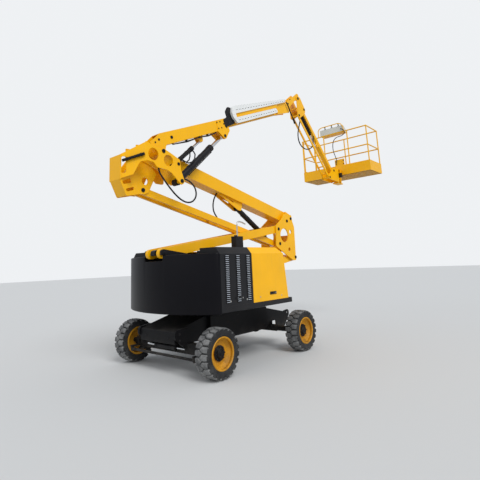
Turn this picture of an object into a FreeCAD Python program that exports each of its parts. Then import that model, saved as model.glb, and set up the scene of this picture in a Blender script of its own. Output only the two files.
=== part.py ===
import FreeCAD, Part
import math
import os

# Articulating boom lift: a four-wheel chassis, a slewing turret, a riser made of two
# parallelograms, a telescopic boom beside the riser, a levelled jib and a work platform.
# Millimetres. +X points from the slewing centre to the platform end, +Y to the left of
# the machine when facing +X, +Z up. The origin lies on the ground under the slewing centre.

os.makedirs("parts", exist_ok=True)
V = FreeCAD.Vector

# Chassis and wheels
WHEELBASE = 2000.0
OVERALL_WIDTH = 2000.0
TYRE_RADIUS = 316.0
TYRE_WIDTH = 218.0
RIM_RADIUS = 206.0
HUB_RADIUS = 62.0
BEARING_CLEARANCE = 0.3
SEAT = 0.3
KINGPIN_INSET = 201.0
KINGPIN_Y = (OVERALL_WIDTH - TYRE_WIDTH) / 2.0 - KINGPIN_INSET
KINGPIN_RADIUS = 22.0
KNUCKLE_HEIGHT = 150.0
STUB_RADIUS = 34.0
STEER_ARM = 200.0
TIE_ROD_Z = 236.0
TIE_ROD_RADIUS = 18.0
AXLE_DEPTH = 120.0
AXLE_WIDTH = 130.0
CHASSIS_HALF_WIDTH = 430.0
CHASSIS_BOTTOM = 350.0
CHASSIS_TOP = 700.0
NOSE_X = -1270.0
NOSE_TOP = 565.0
NOSE_BOTTOM = 400.0
NOSE_HALF_WIDTH = 372.0
TAIL_X = 1490.0
TAIL_TOP = 560.0
TAIL_HALF_WIDTH = 350.0
TAIL_PLATE = 20.0
TAIL_LOW = 243.0
TIE_DOWN = (1440.0, 520.0)
TIE_DOWN_RADIUS = 22.0
AXLE_ARCH = 114.0
RING_RADIUS = 340.0
RING_WIDTH = 60.0
RING_SEAT = 10.0
RING_GAP = 0.5

# Turret
DECK_BOTTOM = 800.0
DECK_PLATE = 14.0
SKIRT_TOP = 872.0
SKIRT_PLATE = 10.0
TURRET_HALF_WIDTH = 980.0
DECK_FRONT = 660.0
COVER_REAR = -985.0
COVER_SPLIT = -320.0
COVER_FRONT = 566.0
COVER_FRONT_TOP = 490.0
COVER_SIDE_TOP = 1560.0
COVER_TOP = 1655.0
COVER_CHAMFER = 80.0
COVER_INNER = 600.0
COVER_WALL = 6.0
COVER_GAP = 6.0
HINGE_ROLL = 8.0
BAY_HALF_WIDTH = 236.0
WEIGHT_NOTCH_FLOOR = 1500.0
WEIGHT_NOTCH_HALF = 200.0
INNER_COVER_TOP = 1560.0
WEIGHT_REAR = -1335.0
WEIGHT_CORNER_X = -1040.0
WEIGHT_BOTTOM = 785.0
WEIGHT_TOP = 1575.0
WEIGHT_CORNER = 60.0

# Sides of the riser, as distances from the middle plane
EAR_HALF = 46.0
LINK_IN, LINK_OUT = 54.0, 90.0
ARM_IN, ARM_OUT = 96.0, 156.0
KNUCKLE_IN, KNUCKLE_OUT = 164.0, 182.0
ROOT_IN, ROOT_OUT = 166.0, 190.0
BEAM_HALF = 108.0
UPPER_IN, UPPER_OUT = 116.0, 134.0

# Riser pins in side view
ROOT_PIN = (-1275.0, 1605.0)
LOWER_LENGTH = 2893.0
LOWER_ANGLE = 9.1
LOWER_OFFSET = (540.0, -548.0)
BEAM_PIN_OFFSET = (453.0, 228.0)
UPPER_LENGTH = 3260.0
UPPER_ANGLE = 12.5
UPPER_OFFSET = (-435.0, -512.0)
ARM_DEPTH = 140.0
ARM_WEB_START, ARM_WEB_END, ARM_WEB = 430.0, 600.0, 20.0
LOWER_LINK_DEPTH = 120.0
LOWER_LINK_HALF = 132.0
BEAM_DEPTH = 210.0
LINK_DEPTH = 104.0
LINK_TIES = (UPPER_LENGTH - 1460.0, UPPER_LENGTH - 560.0, UPPER_LENGTH - 160.0)
RISER_LUG = (1455.0, -205.0)
PIN = 28.0
PIN_CLEARANCE = 0.3

# Boom, offset to one side of the riser
BOOM_Y = -240.0
BOOM_PIN_OFFSET = (-269.0, 29.0)
BOOM_ANGLE = 22.7
BOOM_HALF = 90.0
BOOM_DEPTH = 182.0
BOOM_BOTTOM = 76.0
BOOM_REAR = -100.0
BOOM_FRONT = 1627.0
BOOM_WALL = 8.0
FLY_HALF = 70.0
FLY_DEPTH = 140.0
FLY_WALL = 6.0
FLY_REAR = 1150.0
FLY_FRONT = 3420.0
NEAR_PLATE_OUT = -372.0
NEAR_PLATE = 18.0
CHEEK_PLATE = 18.0
CHEEK_HOLE = 54.0
CHEEK_SLOTS = [[(-340, 88), (-209, 146), (-194, 79), (-317, 48)],
               [(-289, -16), (-152, 32), (-152, -16), (-258, -48)]]
SKIN_SLOT = 46.0
LIFT_FOOT_OFFSET = (337.0, -389.0)
LIFT_LUG = (1464.0, -30.0)
LIFT_PIN = 24.0
LEVEL_FOOT_OFFSET = (276.0, -143.0)
LEVEL_LUG = (915.0, 0.0)
LEVEL_PIN = 16.0

# Jib and platform
FLY_PIN = (4307.0, 319.0)
JIB_PIN_OFFSET = (230.0, -196.0)
JIB_LINK_OFFSET = (-230.0, -195.0)
JIB_LENGTH = 1718.0
JIB_ANGLE = -45.7
JIB_HALF = 50.0
JIB_DEPTH = 80.0
JIB_LINK_IN, JIB_LINK_OUT = 60.0, 78.0
JIB_LINK_DEPTH = 56.0
JIB_LINK_TIES = (JIB_LENGTH - 318.0, JIB_LENGTH - 118.0)
JIB_PLATE_IN, JIB_PLATE_OUT = 84.0, 98.0
JIB_FOOT_PLACE = (26.3, -84.5)
JIB_LUG_PLACE = (900.0, -102.0)
PLATFORM_GAP = 140.0
PLATFORM_DEPTH = 700.0
PLATFORM_WIDTH = 1800.0
PLATFORM_Y = -170.0
PLATFORM_LIFT = 145.0
TOE_HEIGHT = 250.0
FLOOR_PLATE = 8.0
TOE_PLATE = 4.0
MID_RAIL = 640.0
RAIL_HEIGHT = 1130.0
RAIL_RADIUS = 15.0
POST_RADIUS = 14.0
END_RAIL_RADIUS = 14.5
CORNER_RADIUS = 16.5
POST_SPACING = 640.0
GATE_RADIUS = 13.0
GATE_OFFSET = 42.0
GATE_GAP = 8.0
GATE_PIN = 7.0
GATE_LUG = 10.0
CONSOLE_Y = -150.0
CONSOLE_WIDTH = 640.0
CONSOLE_DEPTH = 240.0
CONSOLE_HEIGHT = 170.0
SHELF_PLATE = 6.0
SHELF_DROP = 2.0
ROTATOR_REACH = 287.0
ROTATOR_RADIUS = 58.0

# Hose carrier beside the fly boom, in the boom's frame
CARRIER_REAR = 1766.0
CARRIER_END = 3640.0
CARRIER_LOWER_END = 3255.0
CARRIER_TOP = 425.0
CARRIER_FRONT_TOP = 358.0
CARRIER_BOTTOM = 118.0
CARRIER_RUN = 104.0
CARRIER_UPPER_BOTTOM = 292.0
CARRIER_INNER_Y, CARRIER_OUTER_Y = -352.0, -395.0
GUIDE_OUT = -346.0
GUIDE_REAR = 1640.0

# Free hoses: set from the boom's pin and the platform's rear face
ARC_SHARE = 0.45
HOSE_RADIUS = 12.0
CABLE_RADIUS = 9.0
HOSE_Y = -325.0
GLAND_PLATE = 12.0
GLAND_TOP = (-53, -219)
GLAND_LOW = (367, -339)
KNUCKLE_ROUTE = [(-53, -295), (17, -375), (117, -480), (247, -595), (382, -673), (502, -691),
                 (605, -653), (665, -563), (649, -455), (567, -377), (467, -339)]
CABLE_OUT = 50.0
CABLE_STUB = 20.0
CABLE_START = (-420, 1184)
CABLE_END = (-215, 289)
CABLE_ROUTE = [(-436, 1178), (-492, 1148), (-538, 1088), (-520, 1018), (-440, 986), (-345, 986),
               (-255, 956), (-203, 874), (-184, 759), (-192, 619), (-235, 484), (-262, 374),
               (-230, 304)]

# Post with the beacon box on the right lid
POST_PLACE = (-19.0, -470.0)
POST_TUBE = 22.0
POST_FOOT = 42.0
POST_BOX = (172.0, 100.0, 176.0)
POST_BOX_BOTTOM = 1676.0


def shifted(point, offset):
    """A side-view point moved by an offset."""
    return (point[0] + offset[0], point[1] + offset[1])


def from_whole(point, offset):
    """A point set from another one's nearest whole millimetre."""
    return (round(point[0]) + offset[0], round(point[1]) + offset[1])


def polar(point, length, degrees):
    """The side-view point at a length and an angle above +X from another."""
    a = math.radians(degrees)
    return (point[0] + length * math.cos(a), point[1] + length * math.sin(a))


def frame_at(origin, degrees):
    """Maps distances along and across a slanted piece to side-view coordinates."""
    c, s = math.cos(math.radians(degrees)), math.sin(math.radians(degrees))

    def at(u, w):
        return (origin[0] + u * c - w * s, origin[1] + u * s + w * c)
    return at


# Pins worked out from the sizes above
ARM_PIN = polar(ROOT_PIN, LOWER_LENGTH, LOWER_ANGLE)
LOWER_LINK_ROOT = shifted(ROOT_PIN, LOWER_OFFSET)
LOWER_LINK_PIN = shifted(ARM_PIN, LOWER_OFFSET)
BEAM_PIN = shifted(ARM_PIN, BEAM_PIN_OFFSET)
BEAM_END = polar(BEAM_PIN, UPPER_LENGTH, 180.0 - UPPER_ANGLE)
LINK_PIN = shifted(BEAM_PIN, UPPER_OFFSET)
LINK_END = shifted(BEAM_END, UPPER_OFFSET)
BOOM_PIN = shifted(BEAM_END, BOOM_PIN_OFFSET)
ARM_AT = frame_at(ROOT_PIN, LOWER_ANGLE)
LOWER_LINK_AT = frame_at(LOWER_LINK_ROOT, LOWER_ANGLE)
BEAM_AT = frame_at(BEAM_PIN, 180.0 - UPPER_ANGLE)
LINK_AT = frame_at(LINK_PIN, 180.0 - UPPER_ANGLE)
BOOM_AT = frame_at(BOOM_PIN, BOOM_ANGLE)
SKIN_SLOT_X = BOOM_PIN[0] - 507.0
SKIN_SLOT_LOW = BOOM_PIN[1] - 331.0
SKIN_SLOT_HIGH = BOOM_PIN[1] - 143.0
RISER_LUG_PIN = BEAM_AT(RISER_LUG[0], -RISER_LUG[1])
LIFT_FOOT = shifted(BOOM_PIN, LIFT_FOOT_OFFSET)
LIFT_HEAD = BOOM_AT(*LIFT_LUG)
LEVEL_FOOT = shifted(BOOM_PIN, LEVEL_FOOT_OFFSET)
LEVEL_HEAD = BOOM_AT(*LEVEL_LUG)
HEAD_PIN = BOOM_AT(*FLY_PIN)
JIB_PIN = shifted(HEAD_PIN, JIB_PIN_OFFSET)
JIB_LINK_PIN = shifted(JIB_PIN, JIB_LINK_OFFSET)
JIB_END = polar(JIB_PIN, JIB_LENGTH, JIB_ANGLE)
JIB_LINK_END = shifted(JIB_END, JIB_LINK_OFFSET)
JIB_AT = frame_at(JIB_PIN, JIB_ANGLE)
JIB_LINK_AT = frame_at(JIB_LINK_PIN, JIB_ANGLE)
JIB_FOOT = JIB_AT(*JIB_FOOT_PLACE)
JIB_LUG = JIB_AT(*JIB_LUG_PLACE)
ROTATOR_X = JIB_END[0] + ROTATOR_REACH
PLATFORM_REAR = ROTATOR_X + PLATFORM_GAP
PLATFORM_FLOOR = JIB_LINK_END[1] + PLATFORM_LIFT


def block(x0, x1, y0, y1, z0, z1):
    """An upright box between two corners."""
    return Part.makeBox(x1 - x0, y1 - y0, z1 - z0, V(x0, y0, z0))


def cross_pin(point, radius, y0, y1):
    """A round bar across the machine at a side-view point."""
    return Part.makeCylinder(radius, y1 - y0, V(point[0], y0, point[1]), V(0, 1, 0))


def bar(p, q, radius):
    """A round bar between two points."""
    d = q - p
    return Part.makeCylinder(radius, d.Length, p, d)


def outline(points):
    """A closed wire in side view from (x, z) or (x, z, corner radius) rows."""
    n = len(points)
    edges, ends = [], []
    for i, row in enumerate(points):
        here = V(row[0], 0, row[1])
        radius = row[2] if len(row) > 2 else 0.0
        if not radius:
            ends.append((here, None, here))
            continue
        back = V(points[i - 1][0], 0, points[i - 1][1]) - here
        ahead = V(points[(i + 1) % n][0], 0, points[(i + 1) % n][1]) - here
        back.normalize()
        ahead.normalize()
        half = back.getAngle(ahead) / 2.0
        reach = radius / math.tan(half)
        middle = back + ahead
        middle.normalize()
        centre = here + middle * (radius / math.sin(half))
        ends.append((here + back * reach, centre - middle * radius, here + ahead * reach))
    for i, (start, mid, end) in enumerate(ends):
        if mid is not None:
            edges.append(Part.Arc(start, mid, end).toShape())
        after = ends[(i + 1) % n][0]
        if (after - end).Length > 1e-6:
            edges.append(Part.LineSegment(end, after).toShape())
    return Part.Wire(edges)


def plate(points, y0, y1):
    """A flat plate with a side-view outline, between two distances across."""
    face = Part.Face(outline(points))
    face.translate(V(0, y0, 0))
    return face.extrude(V(0, y1 - y0, 0))


def upright(points, z0, z1):
    """A prism with a plan outline of (x, y) or (x, y, corner radius) rows."""
    face = Part.Face(outline([(r[0], -r[1]) + tuple(r[2:]) for r in points]))
    face.rotate(V(0, 0, 0), V(1, 0, 0), 90)
    face.translate(V(0, 0, z0))
    return face.extrude(V(0, 0, z1 - z0))


def across(points, x0, x1):
    """A prism along X with an end-view outline of (y, z) or (y, z, radius) rows."""
    face = Part.Face(outline(points))
    face.rotate(V(0, 0, 0), V(0, 0, 1), 90)
    face.translate(V(x0, 0, 0))
    return face.extrude(V(x1 - x0, 0, 0))


def joined(shapes):
    """One solid from shapes that meet."""
    whole = shapes[0].multiFuse(shapes[1:]).removeSplitter()
    if len(whole.Solids) != 1:
        print("check: joined shapes give", len(whole.Solids), "solids")
    return whole


def less(shape, cutters):
    """A shape with the cutters taken out."""
    for cutter in cutters:
        shape = shape.cut(cutter)
    return shape


def stubs(point, radius, y, near, far):
    """The two ends of a pin that leaves the space between a pair of lugs free."""
    return [cross_pin(point, radius, y - far, y - near), cross_pin(point, radius, y + near, y + far)]


def mirrored(shape):
    """The same piece on the other side of the middle plane."""
    return shape.mirror(V(0, 0, 0), V(0, 1, 0))


def both(shape):
    """A piece and its mirror image, as a list."""
    return [shape, mirrored(shape)]


def bored(point, y0, y1, radius=PIN):
    """The hole that a pin runs in."""
    return cross_pin(point, radius + PIN_CLEARANCE, y0, y1)


def run(at, rows):
    """Outline rows of (along, across[, radius]) in a slanted frame."""
    return [at(r[0], r[1]) + tuple(r[2:]) for r in rows]


def box_beam(at, u0, u1, w0, w1, y0, y1, wall):
    """A rectangular tube along a slanted frame."""
    outer = plate(run(at, [(u0, w0), (u1, w0), (u1, w1), (u0, w1)]), y0, y1)
    rows = [(u0 - 1, w0 + wall), (u1 + 1, w0 + wall), (u1 + 1, w1 - wall), (u0 - 1, w1 - wall)]
    return outer.cut(plate(run(at, rows), y0 + wall, y1 - wall))


def strap(at, length, depth, end_radius):
    """Outline of a bar with round ends about two pins."""
    h = depth / 2.0
    e = end_radius
    k = 0.999
    return run(at, [(-e, -h, h * k), (length + e, -h, h * k), (length + e, h, h * k), (-e, h, h * k)])


def hose(points, radius):
    """A free hose along its route: straight runs joined by tangent arcs as large as they allow."""
    route = [V(*p) for p in points]
    pieces, bends, length = [], [], 0.0
    start = route[0]
    for before, here, after in zip(route, route[1:], route[2:]):
        back, ahead = before - here, after - here
        reach = ARC_SHARE * min(back.Length, ahead.Length)
        back.normalize()
        ahead.normalize()
        half = back.getAngle(ahead) / 2.0
        bend = reach * math.tan(half)
        middle = back + ahead
        middle.normalize()
        centre = here + middle * (bend / math.sin(half))
        into = here + back * reach
        pieces.append(bar(start, into, radius))
        disc = Part.Face(Part.Wire(Part.makeCircle(radius, into, back)))
        turn = math.pi - 2.0 * half
        pieces.append(disc.revolve(centre, ahead.cross(back), math.degrees(turn)))
        length += (into - start).Length + bend * turn
        start = here + ahead * reach
        bends.append(bend)
    pieces.append(bar(start, route[-1], radius))
    length += (route[-1] - start).Length
    whole = joined(pieces)
    print("hose: length %.0f, least bend %.0f, volume over section %.0f"
          % (length, min(bends), whole.Volume / (math.pi * radius ** 2)))
    return whole


def save(name, shapes):
    """Writes the solids of one sub-part."""
    solids = [s for shape in shapes for s in shape.Solids]
    for s in solids:
        if not s.isValid() or s.Volume <= 0:
            print("check", name)
    result = solids[0] if len(solids) == 1 else Part.makeCompound(solids)
    result.exportStep("parts/%s.step" % name)
    print("%-22s solids %2d  volume %.4f m3" % (name, len(solids), sum(s.Volume for s in solids) / 1e9))


# Wheels
WHEEL_Y = (OVERALL_WIDTH - TYRE_WIDTH) / 2.0
STEER_X = -WHEELBASE / 2.0
DRIVE_X = WHEELBASE / 2.0


def revolved(rows, x, z):
    """A ring about a wheel's axis from (radius, y[, corner radius]) rows, y outward on +Y."""
    face = Part.Face(outline([(r[0], -r[1]) + tuple(r[2:]) for r in rows]))
    face.rotate(V(0, 0, 0), V(1, 0, 0), 90)
    ring = face.revolve(V(0, 0, 0), V(0, 1, 0), 360)
    ring.translate(V(x, 0, z))
    return ring


def wheel(x, side):
    """A tyre and its deep-dish rim with the hub, on one side."""
    half = TYRE_WIDTH / 2.0
    y = WHEEL_Y
    tyre_rows = [
        (RIM_RADIUS, y - half + 12), (RIM_RADIUS + 30, y - half + 2, 10),
        (TYRE_RADIUS - 34, y - half, 20), (TYRE_RADIUS, y - half + 16),
        (TYRE_RADIUS, y + half - 16), (TYRE_RADIUS - 34, y + half, 20),
        (RIM_RADIUS + 30, y + half - 2, 10), (RIM_RADIUS, y + half - 12)]
    rim_rows = [
        (STUB_RADIUS + BEARING_CLEARANCE, y + 4), (150, y + 4, 10),
        (RIM_RADIUS - 26, y + 46), (RIM_RADIUS - 26, y - half + 12),
        (RIM_RADIUS, y - half + 12), (RIM_RADIUS, y + half - 10),
        (RIM_RADIUS - 8, y + half - 4, 3), (RIM_RADIUS - 22, y + half - 16),
        (RIM_RADIUS - 16, y + 56, 6), (146, y + 18, 8), (STUB_RADIUS + BEARING_CLEARANCE, y + 18)]
    hub_rows = [
        (STUB_RADIUS + BEARING_CLEARANCE, y + 18), (HUB_RADIUS + 34, y + 18),
        (HUB_RADIUS + 34, y + 30), (HUB_RADIUS, y + 34), (HUB_RADIUS - 12, y + 62, 8),
        (0, y + 62), (0, y + 50), (STUB_RADIUS + BEARING_CLEARANCE, y + 50)]
    made = [revolved(rows, x, TYRE_RADIUS) for rows in (tyre_rows, rim_rows, hub_rows)]
    return made if side > 0 else [mirrored(s) for s in made]


WHEELS = [("steer_left", STEER_X, 1), ("steer_right", STEER_X, -1),
          ("drive_left", DRIVE_X, 1), ("drive_right", DRIVE_X, -1)]
for name, x, side in WHEELS:
    tyre, rim, hub = wheel(x, side)
    save("tyre_" + name, [tyre])
    save("rim_" + name, [joined([rim, hub])])


# Chassis
def chassis_frame():
    """The welded box: nose, slewing box and tail, with the ring seat and tie-down rings."""
    half = CHASSIS_HALF_WIDTH
    body = plate([(-640, CHASSIS_BOTTOM), (640, CHASSIS_BOTTOM), (760, CHASSIS_BOTTOM + 60),
                  (700, CHASSIS_TOP), (-640, CHASSIS_TOP)], -half, half)
    nose = plate([(NOSE_X, NOSE_BOTTOM, 30), (-1120, NOSE_BOTTOM - 20),
                  (-1100, TYRE_RADIUS + AXLE_DEPTH / 2 + 10),
                  (-640, TYRE_RADIUS + AXLE_DEPTH / 2 + 10), (-640, CHASSIS_TOP), (-700, CHASSIS_TOP),
                  (NOSE_X, NOSE_TOP, 30)], -NOSE_HALF_WIDTH, NOSE_HALF_WIDTH)
    cheek = plate([(NOSE_X - 24, (NOSE_TOP + NOSE_BOTTOM) / 2, 60), (NOSE_X - 24, NOSE_TOP + 22, 60),
                   (-1060, NOSE_TOP + 40), (-1060, NOSE_BOTTOM), (-1150, NOSE_BOTTOM - 40, 30)],
                  NOSE_HALF_WIDTH, NOSE_HALF_WIDTH + 40)
    arch = TYRE_RADIUS + AXLE_ARCH
    tail = plate([(640, CHASSIS_BOTTOM), (700, CHASSIS_BOTTOM), (790, arch), (1140, arch),
                  (TAIL_X - 190, TAIL_TOP - 170), (TAIL_X - 130, TAIL_TOP - 10), (700, CHASSIS_TOP - 10),
                  (640, CHASSIS_TOP - 10)], -TAIL_HALF_WIDTH + 60, TAIL_HALF_WIDTH - 60)
    wing = plate([(640, CHASSIS_BOTTOM + 60), (700, CHASSIS_BOTTOM + 40), (790, arch), (1070, arch),
                  (1084, TAIL_LOW, 20), (1341, TAIL_LOW + 66, 30), (TAIL_X, TAIL_TOP - 78, 20),
                  (TAIL_X, TAIL_TOP + 20, 50),
                  (TAIL_X - 90, TAIL_TOP + 10), (TAIL_X - 180, TAIL_TOP - 4), (1060, TAIL_TOP + 22),
                  (690, CHASSIS_TOP - 10), (640, CHASSIS_TOP - 10)], TAIL_HALF_WIDTH - TAIL_PLATE,
                 TAIL_HALF_WIDTH)
    wing = wing.cut(cross_pin(TIE_DOWN, TIE_DOWN_RADIUS, 0, 500))
    rear = block(TAIL_X - 150, TAIL_X - 138, -TAIL_HALF_WIDTH + 10, TAIL_HALF_WIDTH - 10, TAIL_TOP - 150,
                 TAIL_TOP - 14)
    seat = Part.makeCylinder(RING_RADIUS + 20, RING_SEAT, V(0, 0, CHASSIS_TOP))
    return joined([body, nose, tail, rear, seat] + both(cheek) + both(wing))


def steer_axle():
    """The beam between the kingpins, with a fork at each end."""
    z = TYRE_RADIUS
    top = z + AXLE_DEPTH / 2.0
    beam = block(STEER_X - AXLE_WIDTH / 2, STEER_X + AXLE_WIDTH / 2, -KINGPIN_Y + 100, KINGPIN_Y - 100,
                 z - AXLE_DEPTH / 2, top + 10 - BEARING_CLEARANCE)
    forks = []
    for side in (-1, 1):
        y0, y1 = sorted((side * (KINGPIN_Y - 100), side * (KINGPIN_Y + 34)))
        for low in (True, False):
            z0 = z - KNUCKLE_HEIGHT / 2 - 30 if low else z + KNUCKLE_HEIGHT / 2 + 6
            forks.append(block(STEER_X - 50, STEER_X + 50, y0, y1, z0, z0 + 24))
        w0, w1 = sorted((side * (KINGPIN_Y - 100), side * (KINGPIN_Y - 70)))
        forks.append(block(STEER_X - 50, STEER_X + 50, w0, w1, z - KNUCKLE_HEIGHT / 2 - 30,
                           z + KNUCKLE_HEIGHT / 2 + 30))
        forks.append(Part.makeCylinder(KINGPIN_RADIUS, KNUCKLE_HEIGHT + 60,
                                       V(STEER_X, side * KINGPIN_Y, z - KNUCKLE_HEIGHT / 2 - 30)))
    return joined([beam] + forks)


def knuckle(side):
    """A kingpin block with the stub axle and the steering arm."""
    z, y = TYRE_RADIUS, side * KINGPIN_Y
    h = KNUCKLE_HEIGHT / 2.0
    body = Part.makeCylinder(44, KNUCKLE_HEIGHT, V(STEER_X, y, z - h))
    stub = bar(V(STEER_X, y, z), V(STEER_X, side * (WHEEL_Y + 50 - SEAT), z), STUB_RADIUS)
    flange = bar(V(STEER_X, y, z), V(STEER_X, side * (WHEEL_Y - 100), z), 70)
    arm = block(STEER_X - STEER_ARM - 26, STEER_X, min(y, y - side * 30), max(y, y - side * 30), z - 52,
                z - 28)
    whole = joined([body, stub, flange, arm])
    return whole.cut(Part.makeCylinder(KINGPIN_RADIUS + BEARING_CLEARANCE, 400, V(STEER_X, y, z - 200)))


def tie_rod():
    """The rod between the steering arms, with a ball joint under each arm."""
    x = STEER_X - STEER_ARM
    rod = bar(V(x, -KINGPIN_Y + 16, TIE_ROD_Z), V(x, KINGPIN_Y - 16, TIE_ROD_Z), TIE_ROD_RADIUS)
    ends = [Part.makeCylinder(26, TYRE_RADIUS - 52 - BEARING_CLEARANCE - (TIE_ROD_Z - 24),
                              V(x, s * (KINGPIN_Y - 16), TIE_ROD_Z - 24)) for s in (-1, 1)]
    return joined([rod] + ends)


def drive_axle():
    """The rigid axle with its hub tubes and the drive motor."""
    z = TYRE_RADIUS
    housing = bar(V(DRIVE_X, -TAIL_HALF_WIDTH - 60, z), V(DRIVE_X, TAIL_HALF_WIDTH + 60, z), 56)
    tube = bar(V(DRIVE_X, -WHEEL_Y + 100, z), V(DRIVE_X, WHEEL_Y - 100, z), 46)
    reach = WHEEL_Y + 50 - SEAT
    stub = bar(V(DRIVE_X, -reach, z), V(DRIVE_X, reach, z), STUB_RADIUS)
    gears = Part.makeSphere(105, V(DRIVE_X, 60, z))
    motor = bar(V(DRIVE_X - 200, 60, z + 10), V(DRIVE_X, 60, z + 10), 62)
    pads = [block(DRIVE_X - 60, DRIVE_X + 60, y - 40, y + 40, z, z + AXLE_ARCH - SEAT)
            for y in (-240, 240)]
    return joined([housing, tube, stub, gears, motor] + pads)


save("chassis_frame", [chassis_frame()])
save("axles", [steer_axle(), drive_axle()])
save("knuckle_left", [knuckle(1)])
save("knuckle_right", [knuckle(-1)])
save("tie_rod", [tie_rod()])


# Turret
def turret_deck():
    """The turntable plate with its skirt and the slewing ring under it."""
    w = TURRET_HALF_WIDTH
    x0, x1 = COVER_REAR, DECK_FRONT
    top = DECK_BOTTOM + DECK_PLATE
    floor = block(x0, x1, -w, w, DECK_BOTTOM, top)
    skirts = [block(x0, x1, s0, s1, DECK_BOTTOM, SKIRT_TOP)
              for s0, s1 in ((w - SKIRT_PLATE, w), (-w, -w + SKIRT_PLATE))]
    skirts += [block(x1 - SKIRT_PLATE, x1, s0, s1, DECK_BOTTOM, SKIRT_TOP)
               for s0, s1 in ((-w, -BAY_HALF_WIDTH), (BAY_HALF_WIDTH, w))]
    seat = CHASSIS_TOP + RING_SEAT + RING_GAP
    ring = Part.makeCylinder(RING_RADIUS, DECK_BOTTOM - seat, V(0, 0, seat))
    ring = ring.cut(Part.makeCylinder(RING_RADIUS - RING_WIDTH, DECK_BOTTOM - seat, V(0, 0, seat)))
    return [floor, ring] + skirts


def counterweight():
    """The cast weight with its bowed rear face."""
    w = TURRET_HALF_WIDTH
    front = COVER_REAR - SEAT
    a, b = V(WEIGHT_CORNER_X, w - WEIGHT_CORNER * 0.4, 0), V(WEIGHT_CORNER_X, -w + WEIGHT_CORNER * 0.4, 0)
    wire = Part.Wire([
        Part.LineSegment(V(front, -w, 0), V(front, w, 0)).toShape(),
        Part.LineSegment(V(front, w, 0), V(WEIGHT_CORNER_X + 30, w, 0)).toShape(),
        Part.LineSegment(V(WEIGHT_CORNER_X + 30, w, 0), a).toShape(),
        Part.Arc(a, V(WEIGHT_REAR, 0, 0), b).toShape(),
        Part.LineSegment(b, V(WEIGHT_CORNER_X + 30, -w, 0)).toShape(),
        Part.LineSegment(V(WEIGHT_CORNER_X + 30, -w, 0), V(front, -w, 0)).toShape()])
    face = Part.Face(wire)
    face.translate(V(0, 0, WEIGHT_BOTTOM))
    cast = face.extrude(V(0, 0, WEIGHT_TOP - WEIGHT_BOTTOM))
    return cast.cut(block(WEIGHT_REAR - 10, COVER_REAR, -WEIGHT_NOTCH_HALF, WEIGHT_NOTCH_HALF,
                          WEIGHT_NOTCH_FLOOR, WEIGHT_TOP + 10))


def turret_frame():
    """Two side plates with the riser's root ears, the middle ear and the cross plates."""
    foot = DECK_BOTTOM + DECK_PLATE
    top = WEIGHT_TOP + COVER_GAP
    side = plate([(-960, foot), (380, foot), (300, foot + 260), (-420, foot + 330), (-700, top - 30),
                  (-840, top + 20), (ROOT_PIN[0] - 10, ROOT_PIN[1] + 58, 40),
                  (ROOT_PIN[0] - 62, ROOT_PIN[1] + 40, 30),
                  (ROOT_PIN[0] - 62, top), (-960, top)], ROOT_IN, ROOT_OUT)
    ear = plate([(-1000, top), (-960, top - 60), (-900, top - 60), (-900, top), (-1100, top + 60),
                 (ROOT_PIN[0], ROOT_PIN[1] + 56, 40), (ROOT_PIN[0] - 60, ROOT_PIN[1] + 40, 30),
                 (ROOT_PIN[0] - 60, top)], -EAR_HALF, EAR_HALF)
    wall = block(-960, -936, -ROOT_OUT, ROOT_OUT, foot, top - 56)
    front = block(240, 256, -ROOT_OUT, ROOT_OUT, foot, foot + 160)
    pins = [cross_pin(ROOT_PIN, PIN, -ROOT_OUT, ROOT_OUT), cross_pin(LOWER_LINK_ROOT, PIN, -ROOT_OUT,
                                                                     ROOT_OUT)]
    return joined(both(side) + [ear, wall, front] + pins + turret_deck())


def cover_outline(inner, shrink=0.0):
    """End view of a side cover on the +Y side, inset by the wall for its hollow."""
    w, s = TURRET_HALF_WIDTH - shrink, shrink
    c = COVER_CHAMFER
    return [(inner + 0.0, (SKIRT_TOP + SEAT) - (1 if s else 0)), (w, (SKIRT_TOP + SEAT) - (1 if s else 0)),
            (w, COVER_SIDE_TOP - s * 0.4), (w - c + s * 0.3, COVER_TOP - s), (inner, COVER_TOP - s)]


def vent_cover():
    """The rear side cover, open below, towards the middle and towards the hood."""
    outer = across(cover_outline(COVER_INNER), COVER_REAR, COVER_SPLIT)
    return outer.cut(across(cover_outline(COVER_INNER - 1, COVER_WALL), COVER_REAR + COVER_WALL,
                            COVER_SPLIT + 1))


def hood():
    """The side hood with its slanted front, open below and on the inner sides."""
    x0, x1 = COVER_SPLIT + COVER_GAP, COVER_FRONT
    tip = COVER_FRONT - COVER_FRONT_TOP
    outer = across(cover_outline(COVER_INNER), x0, x1)
    hollow = across(cover_outline(COVER_INNER - 1, COVER_WALL), x0 - 1, x1 - COVER_WALL)
    front = plate([(x1, SKIRT_TOP - 20), (x1 + 50, SKIRT_TOP - 20), (x1 + 50, COVER_TOP + 2),
                   (x1 - tip - 90, COVER_TOP + 2), (x1 - tip, COVER_SIDE_TOP)], 0, 2 * TURRET_HALF_WIDTH)
    behind = front.copy()
    behind.translate(V(-COVER_WALL, 0, 0))
    shell = outer.cut(front).cut(hollow.cut(behind))
    roll = bar(V(x0, COVER_INNER, COVER_TOP), V(x1 - tip - 90, COVER_INNER, COVER_TOP), HINGE_ROLL)
    return joined([shell, roll])


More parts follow.
